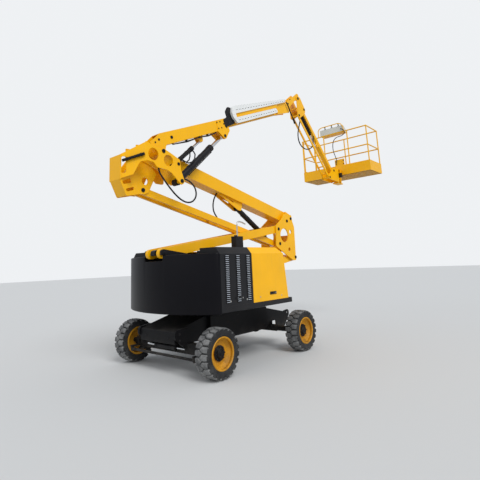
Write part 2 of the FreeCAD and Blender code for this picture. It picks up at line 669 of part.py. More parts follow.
def inner_cover():
    """The low lid between a side cover and the riser bay."""
    lid = across([(BAY_HALF_WIDTH, SKIRT_TOP), (COVER_INNER - COVER_GAP, SKIRT_TOP),
                  (COVER_INNER - COVER_GAP, INNER_COVER_TOP + 60), (COVER_INNER - 50, INNER_COVER_TOP + 60),
                  (COVER_INNER - 80, INNER_COVER_TOP), (BAY_HALF_WIDTH, INNER_COVER_TOP)],
                 COVER_REAR, COVER_FRONT_TOP)
    hollow = across([(BAY_HALF_WIDTH + COVER_WALL, DECK_BOTTOM), (COVER_INNER - COVER_GAP + 1, DECK_BOTTOM),
                     (COVER_INNER - COVER_GAP + 1, INNER_COVER_TOP + 40),
                     (COVER_INNER - 50, INNER_COVER_TOP + 40),
                     (COVER_INNER - 80, INNER_COVER_TOP - COVER_WALL),
                     (BAY_HALF_WIDTH + COVER_WALL, INNER_COVER_TOP - COVER_WALL)],
                    COVER_REAR + COVER_WALL, COVER_FRONT_TOP - COVER_WALL)
    foot = block(COVER_REAR, COVER_FRONT_TOP, BAY_HALF_WIDTH, BAY_HALF_WIDTH + COVER_WALL,
                 DECK_BOTTOM + DECK_PLATE, SKIRT_TOP)
    return joined([lid.cut(hollow), foot])


def turret_post():
    """The post with the beacon box on the right lid."""
    x, y = POST_PLACE
    dx, dy, dz = POST_BOX
    foot = block(x - POST_FOOT, x + POST_FOOT, y - POST_FOOT, y + POST_FOOT, INNER_COVER_TOP + SEAT,
                 INNER_COVER_TOP + 8)
    tube = bar(V(x, y, INNER_COVER_TOP + 4), V(x, y, POST_BOX_BOTTOM + 20), POST_TUBE)
    box = block(x - dx / 2, x + dx / 2, y - dy / 2, y + dy / 2, POST_BOX_BOTTOM, POST_BOX_BOTTOM + dz)
    return joined([foot, tube, box])


save("counterweight", [counterweight()])
save("turret_frame", [turret_frame()])
save("vent_covers", both(vent_cover()))
save("hood_left", [hood()])
save("hood_right", [mirrored(hood())])
save("inner_covers", both(inner_cover()))
save("turret_post", [turret_post()])
save("engine_block", [block(-700, 60, -860, -420, DECK_BOTTOM + DECK_PLATE, 1420)])


# Riser
def lower_arms():
    """The pair of upper arms of the lower parallelogram, with a stiffening plate."""
    rows = strap(ARM_AT, LOWER_LENGTH, ARM_DEPTH, ARM_DEPTH / 2)
    arm = plate(rows, ARM_IN, ARM_OUT)
    arm = less(arm, [bored(ROOT_PIN, 0, 400), bored(ARM_PIN, 0, 400)])
    low = -ARM_DEPTH / 2
    web = plate(run(ARM_AT, [(ARM_WEB_START, low), (ARM_WEB_END, low), (ARM_WEB_END, low + ARM_WEB),
                             (ARM_WEB_START, low + ARM_WEB)]), -ARM_IN - 1, ARM_IN + 1)
    return joined(both(arm) + [web])


def lower_link():
    """The lower member of the lower parallelogram."""
    h = LOWER_LINK_DEPTH / 2
    body = plate(strap(LOWER_LINK_AT, LOWER_LENGTH, LOWER_LINK_DEPTH, h), -LOWER_LINK_HALF, LOWER_LINK_HALF)
    hollow = plate(run(LOWER_LINK_AT, [(150, -h + 10), (LOWER_LENGTH - 150, -h + 10),
                                       (LOWER_LENGTH - 150, h - 10), (150, h - 10)]),
                   -LOWER_LINK_HALF + 10, LOWER_LINK_HALF - 10)
    return less(body, [hollow, bored(LOWER_LINK_ROOT, -400, 400), bored(LOWER_LINK_PIN, -400, 400)])


def lower_knuckle():
    """The upright knuckle that joins the two parallelograms."""
    x0, z0 = BEAM_PIN
    side = plate([(x0 + 34, z0 + 72, 20), (x0 + 54, z0 - 50), (x0 + 112, z0 - 170, 30),
                  (x0 + 100, z0 - 740),
                  (LOWER_LINK_PIN[0] + 36, LOWER_LINK_PIN[1] - 60, 40),
                  (LOWER_LINK_PIN[0] - 80, LOWER_LINK_PIN[1] - 66, 20),
                  (LINK_PIN[0] - 130, LINK_PIN[1] - 50, 30), (ARM_PIN[0] - 86, ARM_PIN[1] - 20, 40),
                  (ARM_PIN[0] - 86, ARM_PIN[1] + 60, 40), (x0 - 330, z0 - 30), (x0 - 220, z0 + 84)],
                 KNUCKLE_IN, KNUCKLE_OUT)
    holes = [cross_pin((x0 - 263, z0 - 346), 135, 0, 400), cross_pin((x0 - 40, z0 - 270), 42, 0, 400),
             cross_pin((x0 - 114, z0 - 625), 40, 0, 400)]
    side = less(side, holes)
    back = plate([(x0 + 60, z0 - 330), (x0 + 76, z0 - 330), (x0 + 70, z0 - 650), (x0 + 54, z0 - 650)],
                 -KNUCKLE_IN - 1, KNUCKLE_IN + 1)
    pins = [cross_pin(p, PIN, -KNUCKLE_OUT, KNUCKLE_OUT) for p in (ARM_PIN, LOWER_LINK_PIN, BEAM_PIN)]
    pins += stubs(LINK_PIN, PIN, 0.0, LINK_IN - 4, KNUCKLE_OUT)
    return joined(both(side) + [back] + pins)


def upper_beam():
    """The box beam of the upper parallelogram, with the riser cylinder's clevis."""
    h = BEAM_DEPTH / 2
    tube = box_beam(BEAM_AT, 150, UPPER_LENGTH - 150, -h, h, -BEAM_HALF, BEAM_HALF, 10)
    near_end = plate(run(BEAM_AT, [(-70, -h + 30, 30), (155, -h), (155, h), (-70, h - 30, 30)]), -ARM_OUT,
                     ARM_OUT)
    far_end = plate(run(BEAM_AT, [(UPPER_LENGTH - 155, -h), (UPPER_LENGTH + 70, -h + 30, 40),
                                  (UPPER_LENGTH + 70, h - 30, 40), (UPPER_LENGTH - 155, h)]), -BEAM_HALF,
                    BEAM_HALF)
    u, w = RISER_LUG
    lug = plate(run(BEAM_AT, [(u + 620, h), (u - 60, h), (u - 46, -w + 40, 40), (u + 40, -w + 44, 40)]), 50,
                64)
    lug = lug.cut(plate(run(BEAM_AT, [(u + 400, h + 20), (u + 180, h + 20), (u + 180, h + 55)]), 0, 100))
    clevis = both(lug) + [cross_pin(RISER_LUG_PIN, PIN, -64, 64)]
    body = joined([tube, near_end, far_end] + clevis)
    return less(body, [bored(BEAM_PIN, -400, 400), bored(BEAM_END, -400, 400)])


def upper_link():
    """The pair of bars under the beam, with cross tubes."""
    bar_one = plate(strap(LINK_AT, UPPER_LENGTH, LINK_DEPTH, LINK_DEPTH / 2), LINK_IN, LINK_OUT)
    bar_one = less(bar_one, [bored(LINK_PIN, 0, 400), bored(LINK_END, 0, 400)])
    ties = [cross_pin(LINK_AT(u, 0), 30, -LINK_IN - 1, LINK_IN + 1) for u in LINK_TIES]
    return joined(both(bar_one) + ties)


def upper_knuckle():
    """The upright knuckle that carries the boom beside the riser."""
    x0, z0 = BOOM_PIN
    y_near = NEAR_PLATE_OUT
    near = plate([(x0 - 300, z0 + 84), (x0 - 166, z0 + 40), (x0 + 46, z0 + 24), (x0 + 156, z0 - 16),
                  (x0 + 306, z0 - 78, 30), (x0 + 322, z0 - 226), (x0 + 396, z0 - 400, 40),
                  (x0 + 336, z0 - 450, 30),
                  (x0 + 270, z0 - 400), (x0 + 150, z0 - 297), (x0 + 60, z0 - 262), (x0 - 117, z0 - 251, 40),
                  (x0 - 168, z0 - 189, 40), (x0 - 300, z0 - 180)], y_near, y_near + NEAR_PLATE)
    near = less(near, [cross_pin((x0 - 176, z0 - 77), 88, -600, 0),
                       cross_pin((x0 + 89, z0 - 123), 84, -600, 0)])
    xe, ze = BEAM_END
    inner_rows = [(xe - 560, ze + 120), (xe - 240, ze + 140), (xe + 60, ze + 60, 40), (xe + 130, ze - 110),
                  (xe + 120, ze - 330, 30), (xe - 20, ze - 330), (xe - 200, ze - 180), (xe - 560, ze - 60)]
    middle = plate([(xe - 560, ze + 120), (xe - 330, ze + 150), (xe - 200, ze + 96),
                    (xe + 130, ze - 30, 40),
                    (xe + 150, ze - 330, 30), (xe + 20, ze - 380, 30), (xe - 180, ze - 190),
                    (xe - 560, ze - 60)],
                   -UPPER_OUT, -UPPER_IN)
    far = plate(inner_rows, UPPER_IN, UPPER_OUT)
    xl, zl = LINK_END
    cheek = plate([(xe - 560, ze - 60), (xe - 330, ze - 120), (xl + 235, zl + 262), (xl + 100, zl - 20, 40),
                   (xl + 30, zl - 56, 30), (xl - 50, zl - 60, 30), (xl - 270, zl - 110, 30),
                   (xl - 380, zl + 110)], UPPER_IN - CHEEK_PLATE, UPPER_IN)
    windows = [plate([(xl + x, zl + z, 16) for x, z in rows], 0, KNUCKLE_OUT) for rows in CHEEK_SLOTS]
    cheek = less(cheek, windows + [cross_pin((xl + 35, zl + 133), CHEEK_HOLE, 0, KNUCKLE_OUT)])
    rear_x = xl - 380
    rear_top = z0 - 93
    skin = upright([(x0 - 300, y_near), (x0 - 300 + 16, y_near + 4), (rear_x + 14, -UPPER_IN),
                    (rear_x, -UPPER_IN)],
                   zl + 110, z0 + 84)
    above = plate([(x0 - 290, z0 + 84), (rear_x, rear_top), (rear_x - 10, rear_top),
                   (rear_x - 10, z0 + 100),
                   (x0 - 290, z0 + 100)], y_near - 10, 0)
    below = plate([(x0 - 280, z0 - 186), (x0 - 356, z0 - 199, 40), (x0 - 419, z0 - 374), (rear_x, zl + 115),
                   (rear_x, zl + 100), (x0 - 280, zl + 100)], y_near - 10, 0)
    slot = block(SKIN_SLOT_X - SKIN_SLOT / 2, SKIN_SLOT_X + SKIN_SLOT / 2, y_near, 0, SKIN_SLOT_LOW,
                 SKIN_SLOT_HIGH)
    rounds = [cross_pin((SKIN_SLOT_X, z), SKIN_SLOT / 2, y_near, 0) for z in (SKIN_SLOT_LOW,
                                                                              SKIN_SLOT_HIGH)]
    skin = less(skin, [above, below, slot] + rounds)
    rear = block(rear_x, rear_x + 14, -UPPER_OUT, UPPER_OUT, zl + 110, rear_top)
    floor = plate([(LINK_END[0] - 270, LINK_END[1] - 100), (LINK_END[0] - 256, LINK_END[1] - 100),
                   (rear_x + 14, LINK_END[1] + 110), (rear_x, LINK_END[1] + 110)], -UPPER_IN, UPPER_IN)
    pins = [cross_pin(BEAM_END, PIN, -UPPER_OUT, UPPER_OUT), cross_pin(LINK_END, PIN, -UPPER_IN, UPPER_IN),
            cross_pin(BOOM_PIN, PIN, y_near, -UPPER_IN), cross_pin(LIFT_FOOT, PIN, y_near, -UPPER_IN),
            cross_pin(LEVEL_FOOT, 20, y_near, -UPPER_IN)]
    y_in = y_near + NEAR_PLATE
    top_x, top_z = from_whole(BOOM_PIN, GLAND_TOP)
    low_x, low_z = from_whole(BOOM_PIN, GLAND_LOW)
    glands = [block(top_x - 40, top_x + 40, y_in - 1, HOSE_Y + 30, top_z, top_z + GLAND_PLATE),
              block(low_x - GLAND_PLATE, low_x, y_in - 1, HOSE_Y + 20, low_z - 18, low_z + 22)]
    return joined([near, middle, far, skin, rear, floor] + both(cheek) + pins + glands)


def knuckle_hose():
    """The hose that loops under the upper knuckle, from its near plate and back to it."""
    route = [from_whole(BOOM_PIN, place) for place in [GLAND_TOP] + KNUCKLE_ROUTE + [GLAND_LOW]]
    return hose([(x, HOSE_Y, z) for x, z in route], HOSE_RADIUS)


save("lower_arms", [lower_arms()])
save("lower_link", [lower_link()])
save("lower_knuckle", [lower_knuckle()])
save("upper_beam", [upper_beam()])
save("upper_link", [upper_link()])
save("upper_knuckle", [upper_knuckle()])
save("knuckle_hose", [knuckle_hose()])


# Cylinders
def cylinder(row):
    """A barrel with its foot eye and a rod with its head eye, from a row of the table below."""
    foot, head, y, big, small, length, closing, foot_pin, head_pin, head_eye, half = row[1:]
    at = frame_at(foot, math.degrees(math.atan2(head[1] - foot[1], head[0] - foot[0])))
    reach = math.hypot(head[0] - foot[0], head[1] - foot[1])

    def on_axis(u):
        p = at(u, 0)
        return V(p[0], y, p[1])
    foot_eye = big * 0.92
    rod_start = ROD_START * length
    barrel = joined([bar(on_axis(foot_eye * 0.8), on_axis(length), big),
                     bar(on_axis(length - GLAND_LENGTH), on_axis(length + GLAND_LENGTH / 4),
                         big + GLAND_RIM),
                     cross_pin(foot, foot_eye, y - half, y + half)])
    bore = bar(on_axis(rod_start - closing), on_axis(length + GLAND_LENGTH), small + BEARING_CLEARANCE)
    barrel = less(barrel, [bore, cross_pin(foot, foot_pin + PIN_CLEARANCE, y - half - 1, y + half + 1)])
    rod = joined([bar(on_axis(rod_start), on_axis(reach - head_eye * 0.8), small),
                  cross_pin(head, head_eye, y - half, y + half)])
    return barrel, rod.cut(cross_pin(head, head_pin + PIN_CLEARANCE, y - half - 1, y + half + 1))


ROD_START = 0.35
GLAND_LENGTH = 60.0
GLAND_RIM = 5.0
# name, foot pin, head pin, across, barrel radius, rod radius, barrel length, room to close,
# foot pin radius, head pin radius, head eye radius, half width of the eyes
CYLINDERS = [
    ("riser", RISER_LUG_PIN, LINK_PIN, 0.0, 45.0, 30.0, 900.0, 130.0, PIN, PIN, 46.0, 44.0),
    ("lift", LIFT_FOOT, LIFT_HEAD, BOOM_Y, 54.0, 31.0, 1010.0, 240.0, PIN, LIFT_PIN, 42.0, 48.0),
    ("level", LEVEL_FOOT, LEVEL_HEAD, BOOM_Y, 34.0, 20.0, 520.0, 125.0, 20.0, LEVEL_PIN, 28.0, 30.0),
    ("jib", JIB_FOOT, JIB_LUG, BOOM_Y, 30.0, 18.0, 560.0, 60.0, 16.0, 16.0, 30.0, 26.0)]
for row in CYLINDERS:
    barrel, rod = cylinder(row)
    save(row[0] + "_barrel", [barrel])
    save(row[0] + "_rod", [rod])


# Boom
def main_boom():
    """The outer box with its root cheeks, the head lugs and the levelling lug."""
    b, t = BOOM_BOTTOM, BOOM_BOTTOM + BOOM_DEPTH
    y0, y1 = BOOM_Y - BOOM_HALF, BOOM_Y + BOOM_HALF
    tube = box_beam(BOOM_AT, 120, BOOM_FRONT, b, t, y0, y1, BOOM_WALL)
    cheek = run(BOOM_AT, [(-54, -50, 50), (70, -50, 50), (88, 20, 30), (130, b), (240, b), (240, t),
                          (67, t, 40),
                          (BOOM_REAR, t - 70), (-150, b + 90), (-110, 20)])
    cheeks = [plate(cheek, y0, y0 + BOOM_WALL), plate(cheek, y1 - BOOM_WALL, y1)]
    top = plate(run(BOOM_AT, [(67, t - BOOM_WALL), (130, t - BOOM_WALL), (130, t), (67, t)]), y0, y1)
    u, w = LIFT_LUG
    head = run(BOOM_AT, [(u - 142, b), (u - 44, w - 20, 30), (u, w - 66, 40), (u + 52, w - 20, 30),
                         (BOOM_FRONT, b - 46),
                         (BOOM_FRONT, t), (u - 100, t)])
    lugs = [plate(head, y0 - 8, y0), plate(head, y1, y1 + 8)]
    inner = run(BOOM_AT, [(u - 142, b + 1), (u - 44, w - 20, 30), (u, w - 66, 40), (u + 52, w - 20, 30),
                          (u + 120, b + 1)])
    inner_lugs = [plate(inner, BOOM_Y - 68, BOOM_Y - 54), plate(inner, BOOM_Y + 54, BOOM_Y + 68)]
    lu, lw = LEVEL_LUG
    level = run(BOOM_AT, [(lu - 60, b + 1), (lu - 30, lw - 20, 24), (lu + 30, lw - 20, 24),
                          (lu + 60, b + 1)])
    level_lugs = [plate(level, BOOM_Y - 46, BOOM_Y - 34), plate(level, BOOM_Y + 34, BOOM_Y + 46)]
    pins = stubs(LIFT_HEAD, LIFT_PIN, BOOM_Y, 54, BOOM_HALF + 8) + stubs(LEVEL_HEAD, LEVEL_PIN, BOOM_Y, 34,
                                                                         54)
    body = joined([tube, top] + cheeks + lugs + inner_lugs + level_lugs + pins)
    return body.cut(bored(BOOM_PIN, -600, 0))


def fly_boom():
    """The telescoping box with the head casting that carries the levelled bracket."""
    middle = BOOM_BOTTOM + BOOM_DEPTH / 2
    h = FLY_DEPTH / 2
    y0, y1 = BOOM_Y - FLY_HALF, BOOM_Y + FLY_HALF
    tube = box_beam(BOOM_AT, FLY_REAR, FLY_FRONT + 240, middle - h, middle + h, y0, y1, FLY_WALL)
    hx, hz = HEAD_PIN
    low = BOOM_AT(FLY_FRONT + 240, middle - h)
    high = BOOM_AT(FLY_FRONT + 240, middle + h)
    back = BOOM_AT(FLY_FRONT - 20, middle - h)
    head = [back, (low[0] + 20, low[1] - 10, 30), (hx - 381, hz - 434, 30), (hx - 310, hz - 260, 60),
            (hx - 70, hz - 50, 30), (hx, hz - 62, 30), (hx + 62, hz - 10, 30), (hx + 70, hz + 140, 50),
            (hx - 10, hz + 120, 40), (high[0] - 20, high[1] + 10), BOOM_AT(FLY_FRONT - 20, middle + h)]
    sides = [plate(head, y0 - 10, y0), plate(head, y1, y1 + 10)]
    end = plate(run(BOOM_AT, [(FLY_FRONT + 226, middle - h), (FLY_FRONT + 240, middle - h),
                              (FLY_FRONT + 240, middle + h),
                              (FLY_FRONT + 226, middle + h)]), y0, y1)
    pads = [plate(run(BOOM_AT, [(FLY_REAR + 20, a), (FLY_REAR + 120, a), (FLY_REAR + 120, c),
                                (FLY_REAR + 20, c)]),
                  y0, y1) for a, c in ((middle - BOOM_DEPTH / 2 + BOOM_WALL + 0.4, middle - h),
                                       (middle + h, middle + BOOM_DEPTH / 2 - BOOM_WALL - 0.4))]
    pin = cross_pin(HEAD_PIN, PIN, BOOM_Y - JIB_PLATE_OUT, BOOM_Y + JIB_PLATE_OUT)
    low_end = CARRIER_LOWER_END + 35
    seat = plate(run(BOOM_AT, [(low_end, middle - h), (CARRIER_END, middle - h - 20),
                               (CARRIER_END + 20, CARRIER_FRONT_TOP - 20),
                               (FLY_FRONT + 60, CARRIER_FRONT_TOP - 14), (low_end, middle + h)]),
                 CARRIER_INNER_Y + SEAT, y0 - 9)
    return joined([tube, end, pin, seat] + sides + pads)


def hose_carrier():
    """The folded hose carrier beside the fly boom: two runs and the bend at the rear."""
    low_top = CARRIER_BOTTOM + CARRIER_RUN
    inner_x = CARRIER_REAR + 88
    rows = [(CARRIER_END, CARRIER_FRONT_TOP), (CARRIER_REAR + 60, CARRIER_TOP, 60),
            (CARRIER_REAR, CARRIER_TOP - 100, 60),
            (CARRIER_REAR, CARRIER_BOTTOM + 120, 90), (CARRIER_REAR + 80, CARRIER_BOTTOM, 60),
            (CARRIER_LOWER_END, CARRIER_BOTTOM + 10, 30), (CARRIER_LOWER_END - 50, low_top, 40),
            (inner_x, low_top, 28), (inner_x, CARRIER_UPPER_BOTTOM, 28),
            (CARRIER_END, CARRIER_UPPER_BOTTOM + 6)]
    return plate(run(BOOM_AT, rows), CARRIER_OUTER_Y, CARRIER_INNER_Y)


def carrier_guide():
    """The plate at the main boom's mouth that the carrier's bend runs past."""
    b, t = BOOM_BOTTOM, BOOM_BOTTOM + BOOM_DEPTH
    rows = [(BOOM_FRONT - 90, b + 30, 20), (GUIDE_REAR + 180, b + 50, 30),
            (GUIDE_REAR + 200, CARRIER_TOP - 20, 30),
            (GUIDE_REAR + 100, CARRIER_TOP + 14, 60), (GUIDE_REAR, CARRIER_TOP - 60, 60),
            (GUIDE_REAR, t + 10, 12),
            (BOOM_FRONT - 90, t - 14, 20)]
    return plate(run(BOOM_AT, rows), GUIDE_OUT, BOOM_Y - BOOM_HALF - 8 - SEAT)


save("main_boom", [main_boom()])
save("fly_boom", [fly_boom()])
save("hose_carrier", [hose_carrier()])
save("carrier_guide", [carrier_guide()])


# Jib
def jib_bracket():
    """The levelled bracket between the fly boom's head and the jib."""
    hx, hz = HEAD_PIN
    jx, jz = JIB_PIN
    lx, lz = JIB_LINK_PIN
    rows = [(hx - 50, hz + 20, 40), (hx + 10, hz + 60, 40), (hx + 90, hz + 50, 40), (jx + 56, jz + 10, 40),
            (jx + 40, jz - 70, 30), (jx - 20, jz - 130, 40), (lx + 50, lz - 46, 30), (lx - 46, lz - 50, 30),
            (lx - 50, lz + 60, 30)]
    sides = [plate(rows, BOOM_Y + a, BOOM_Y + c) for a, c in
             ((-JIB_PLATE_OUT, -JIB_PLATE_IN), (JIB_PLATE_IN, JIB_PLATE_OUT))]
    tie_at = (lx - 4, (hz + lz) / 2 - 20)
    tie = cross_pin(tie_at, 16, BOOM_Y - JIB_PLATE_IN - 1, BOOM_Y + JIB_PLATE_IN + 1)
    pins = [cross_pin(p, r, BOOM_Y - JIB_PLATE_OUT, BOOM_Y + JIB_PLATE_OUT)
            for p, r in ((JIB_PIN, 22), (JIB_LINK_PIN, 20), (JIB_FOOT, 16))]
    return less(joined(sides + [tie] + pins), [bored(HEAD_PIN, -600, 200)])


def jib_arm():
    """The upper jib box with its root cheeks and the cylinder lug."""
    h = JIB_DEPTH / 2
    y0, y1 = BOOM_Y - JIB_HALF, BOOM_Y + JIB_HALF
    tube = box_beam(JIB_AT, 500, JIB_LENGTH - 60, -h, h, y0, y1, 6)
    root = run(JIB_AT, [(-40, -h, 38), (520, -h), (520, h), (-40, h, 38)])
    tip = run(JIB_AT, [(JIB_LENGTH - 80, -h), (JIB_LENGTH + 40, -h, 38), (JIB_LENGTH + 40, h, 38),
                       (JIB_LENGTH - 80, h)])
    cheeks = [plate(root, y0, y0 + 16), plate(root, y1 - 16, y1)]
    web = plate(run(JIB_AT, [(60, h - 10), (500, h - 10), (500, h), (60, h)]), y0, y1)
    end = plate(tip, y0, y1)
    lug_rows = run(JIB_AT, [(830, -h), (870, -128, 30), (930, -128, 30), (970, -h)])
    lugs = [plate(lug_rows, BOOM_Y - 44, BOOM_Y - 32), plate(lug_rows, BOOM_Y + 32, BOOM_Y + 44)]
    body = joined([tube, web, end] + cheeks + lugs + stubs(JIB_LUG, 16, BOOM_Y, 32, 52))
    return less(body, [bored(JIB_PIN, -600, 200, 22), bored(JIB_END, -600, 200, 22)])


def jib_link():
    """The pair of lower jib bars."""
    one = plate(strap(JIB_LINK_AT, JIB_LENGTH, JIB_LINK_DEPTH, JIB_LINK_DEPTH / 2), BOOM_Y + JIB_LINK_IN,
                BOOM_Y + JIB_LINK_OUT)
    two = plate(strap(JIB_LINK_AT, JIB_LENGTH, JIB_LINK_DEPTH, JIB_LINK_DEPTH / 2), BOOM_Y - JIB_LINK_OUT,
                BOOM_Y - JIB_LINK_IN)
    ties = [cross_pin(JIB_LINK_AT(u, 0), 15, BOOM_Y - JIB_LINK_IN - 1,
                      BOOM_Y + JIB_LINK_IN + 1) for u in JIB_LINK_TIES]
    body = joined([one, two] + ties)
    return less(body, [bored(JIB_LINK_PIN, -600, 200, 20), bored(JIB_LINK_END, -600, 200, 20)])


def platform_bracket():
    """The levelled bracket at the jib's end, with the rotator housing."""
    ex, ez = JIB_END
    lx, lz = JIB_LINK_END
    front = ROTATOR_X - 40
    rows = [(lx - 44, lz - 44, 30), (front, lz - 60, 20), (front, ez + 60, 30), (ex - 40, ez + 50, 30),
            (lx - 44, lz + 40, 30)]
    near = plate(rows, BOOM_Y - JIB_PLATE_OUT, BOOM_Y - JIB_PLATE_IN)
    far = plate(rows, BOOM_Y + JIB_PLATE_IN, BOOM_Y + JIB_PLATE_OUT)
    pins = [cross_pin(JIB_END, 22, BOOM_Y - JIB_PLATE_OUT, BOOM_Y + JIB_PLATE_OUT),
            cross_pin(JIB_LINK_END, 20, BOOM_Y - JIB_PLATE_OUT, BOOM_Y + JIB_PLATE_OUT)]
    web = block(front - 24, front, BOOM_Y - JIB_PLATE_IN - 1, BOOM_Y + JIB_PLATE_IN + 1, lz - 40, ez + 40)
    rotator = Part.makeCylinder(ROTATOR_RADIUS, ez + 60 - lz + 60, V(ROTATOR_X, BOOM_Y, lz - 60))
    return joined([near, far, web, rotator] + pins)


save("jib_bracket", [jib_bracket()])
save("jib_arm", [jib_arm()])
save("jib_link", [jib_link()])
save("platform_bracket", [platform_bracket()])


# Platform
P_X0, P_X1 = PLATFORM_REAR, PLATFORM_REAR + PLATFORM_DEPTH
P_Y0, P_Y1 = PLATFORM_Y - PLATFORM_WIDTH / 2, PLATFORM_Y + PLATFORM_WIDTH / 2
P_Z = PLATFORM_FLOOR


def platform_mount():
    """The yoke that hangs the platform on the rotator."""
    lx, lz = JIB_LINK_END
    ex, ez = JIB_END
    low = block(ROTATOR_X - 60, P_X0 + 60, BOOM_Y - 70, BOOM_Y + 70, lz - 86, lz - 60 - BEARING_CLEARANCE)
    high = block(ROTATOR_X - 60, P_X0, BOOM_Y - 70, BOOM_Y + 70, ez + 60 + BEARING_CLEARANCE, ez + 86)
    post = block(P_X0 - 44, P_X0, BOOM_Y - 70, BOOM_Y + 70, lz - 86, ez + 86)
    return joined([low, high, post])


def platform_tray():
    """The floor with its toe boards, open on the entry side above the board."""
    outer = block(P_X0, P_X1, P_Y0, P_Y1, P_Z, P_Z + TOE_HEIGHT)
    inner = block(P_X0 + TOE_PLATE, P_X1 - TOE_PLATE, P_Y0 + TOE_PLATE, P_Y1 - TOE_PLATE, P_Z + FLOOR_PLATE,
                  P_Z + TOE_HEIGHT + 1)
    panel = block(P_X0, P_X0 + TOE_PLATE, BOOM_Y - 190, BOOM_Y + 60, P_Z + TOE_HEIGHT - 1, P_Z + 410)
    return joined([outer.cut(inner), panel])


RAIL_INSET = RAIL_RADIUS + TOE_PLATE + SEAT
R_X0, R_X1, R_Y0, R_Y1 = P_X0 + RAIL_INSET, P_X1 - RAIL_INSET, P_Y0 + RAIL_INSET, P_Y1 - RAIL_INSET
RAIL_Z = P_Z + RAIL_HEIGHT - RAIL_RADIUS
GATE_X = R_X0 + GATE_OFFSET
GATE_TOP = RAIL_Z - 2 * RAIL_RADIUS
GATE_BOTTOM = P_Z + TOE_HEIGHT + 2 * RAIL_RADIUS


def guard_rails():
    """Posts with a mid rail and a top rail, the gate's hinge lugs and the console's shelf."""
    r = RAIL_RADIUS
    base = P_Z + FLOOR_PLATE
    corners = [(R_X0, R_Y0), (R_X1, R_Y0), (R_X1, R_Y1), (R_X0, R_Y1)]
    middle = [(R_X1, PLATFORM_Y), (R_X0, BOOM_Y - POST_SPACING / 2), (R_X0, BOOM_Y + POST_SPACING / 2)]
    pieces = [bar(V(x, y, base), V(x, y, RAIL_Z), POST_RADIUS) for x, y in corners + middle]
    for z in (P_Z + MID_RAIL, RAIL_Z):
        pieces += [bar(V(x, R_Y0, z), V(x, R_Y1, z), r) for x in (R_X0, R_X1)]
        pieces.append(bar(V(R_X0, R_Y0, z), V(R_X1, R_Y0, z), END_RAIL_RADIUS))
        pieces += [Part.makeSphere(CORNER_RADIUS, V(x, y, z)) for x, y in corners]
    for z in (GATE_BOTTOM - GATE_RADIUS - SEAT - GATE_LUG, GATE_TOP + GATE_RADIUS + SEAT):
        lug = block(R_X0, GATE_X + GATE_RADIUS, R_Y1 - GATE_RADIUS, R_Y1 + GATE_RADIUS, z, z + GATE_LUG)
        pieces.append(lug.cut(Part.makeCylinder(GATE_PIN + PIN_CLEARANCE, GATE_LUG, V(GATE_X, R_Y1, z))))
    z = RAIL_Z + r - SHELF_DROP
    pieces.append(block(R_X0 - r / 3, R_X0 + CONSOLE_DEPTH, CONSOLE_Y - CONSOLE_WIDTH / 2,
                        CONSOLE_Y + CONSOLE_WIDTH / 2,
                        z - SHELF_PLATE, z))
    return joined(pieces)


def gate():
    """The gate at the +Y end of the platform, on two pins."""
    r, y = GATE_RADIUS, R_Y1
    x1 = R_X1 - RAIL_RADIUS - r - GATE_GAP
    low = GATE_BOTTOM - r
    high = GATE_TOP + r
    pieces = [bar(V(x, y, low), V(x, y, high), r) for x in (GATE_X, x1)]
    pieces += [bar(V(GATE_X, y, z), V(x1, y, z), r) for z in (GATE_BOTTOM, P_Z + MID_RAIL, GATE_TOP)]
    pieces.append(Part.makeCylinder(GATE_PIN, high - low + 2 * (GATE_LUG + SEAT),
                                    V(GATE_X, y, low - GATE_LUG - SEAT)))
    return joined(pieces)


def control_box():
    """The sloped control console on its shelf at the rear rail."""
    z = RAIL_Z + RAIL_RADIUS + SEAT
    side = [(P_X0 + 6, z), (P_X0 + CONSOLE_DEPTH, z), (P_X0 + CONSOLE_DEPTH, z + 60),
            (P_X0 + 60, z + CONSOLE_HEIGHT),
            (P_X0 + 6, z + CONSOLE_HEIGHT - 20)]
    half = CONSOLE_WIDTH / 2 - 10
    return plate(side, CONSOLE_Y - half, CONSOLE_Y + half)


def console_cable():
    """The cable from the console's back down to the panel over the toe board."""
    x0 = P_X0 + 6
    y0, z0 = from_whole((0, P_Z), CABLE_START)
    y1, z1 = from_whole((0, P_Z), CABLE_END)
    hanging = [(round(P_X0) - CABLE_OUT,) + from_whole((0, P_Z), place) for place in CABLE_ROUTE]
    route = ([(x0, y0, z0), (x0 - CABLE_STUB, y0, z0)] + hanging
             + [(P_X0 - CABLE_STUB, y1, z1), (P_X0, y1, z1)])
    return hose(route, CABLE_RADIUS)


save("platform_mount", [platform_mount()])
save("platform_tray", [platform_tray()])
save("guard_rails", [guard_rails()])
save("gate", [gate()])
save("control_box", [control_box()])
save("console_cable", [console_cable()])
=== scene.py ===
"""Finishes, fittings, hoses, floor, light and view of an articulating boom lift."""

import logging
import math
from dataclasses import dataclass
from enum import Enum
from typing import Iterable, Optional, Sequence

import bmesh
import bpy
from mathutils import Matrix, Vector


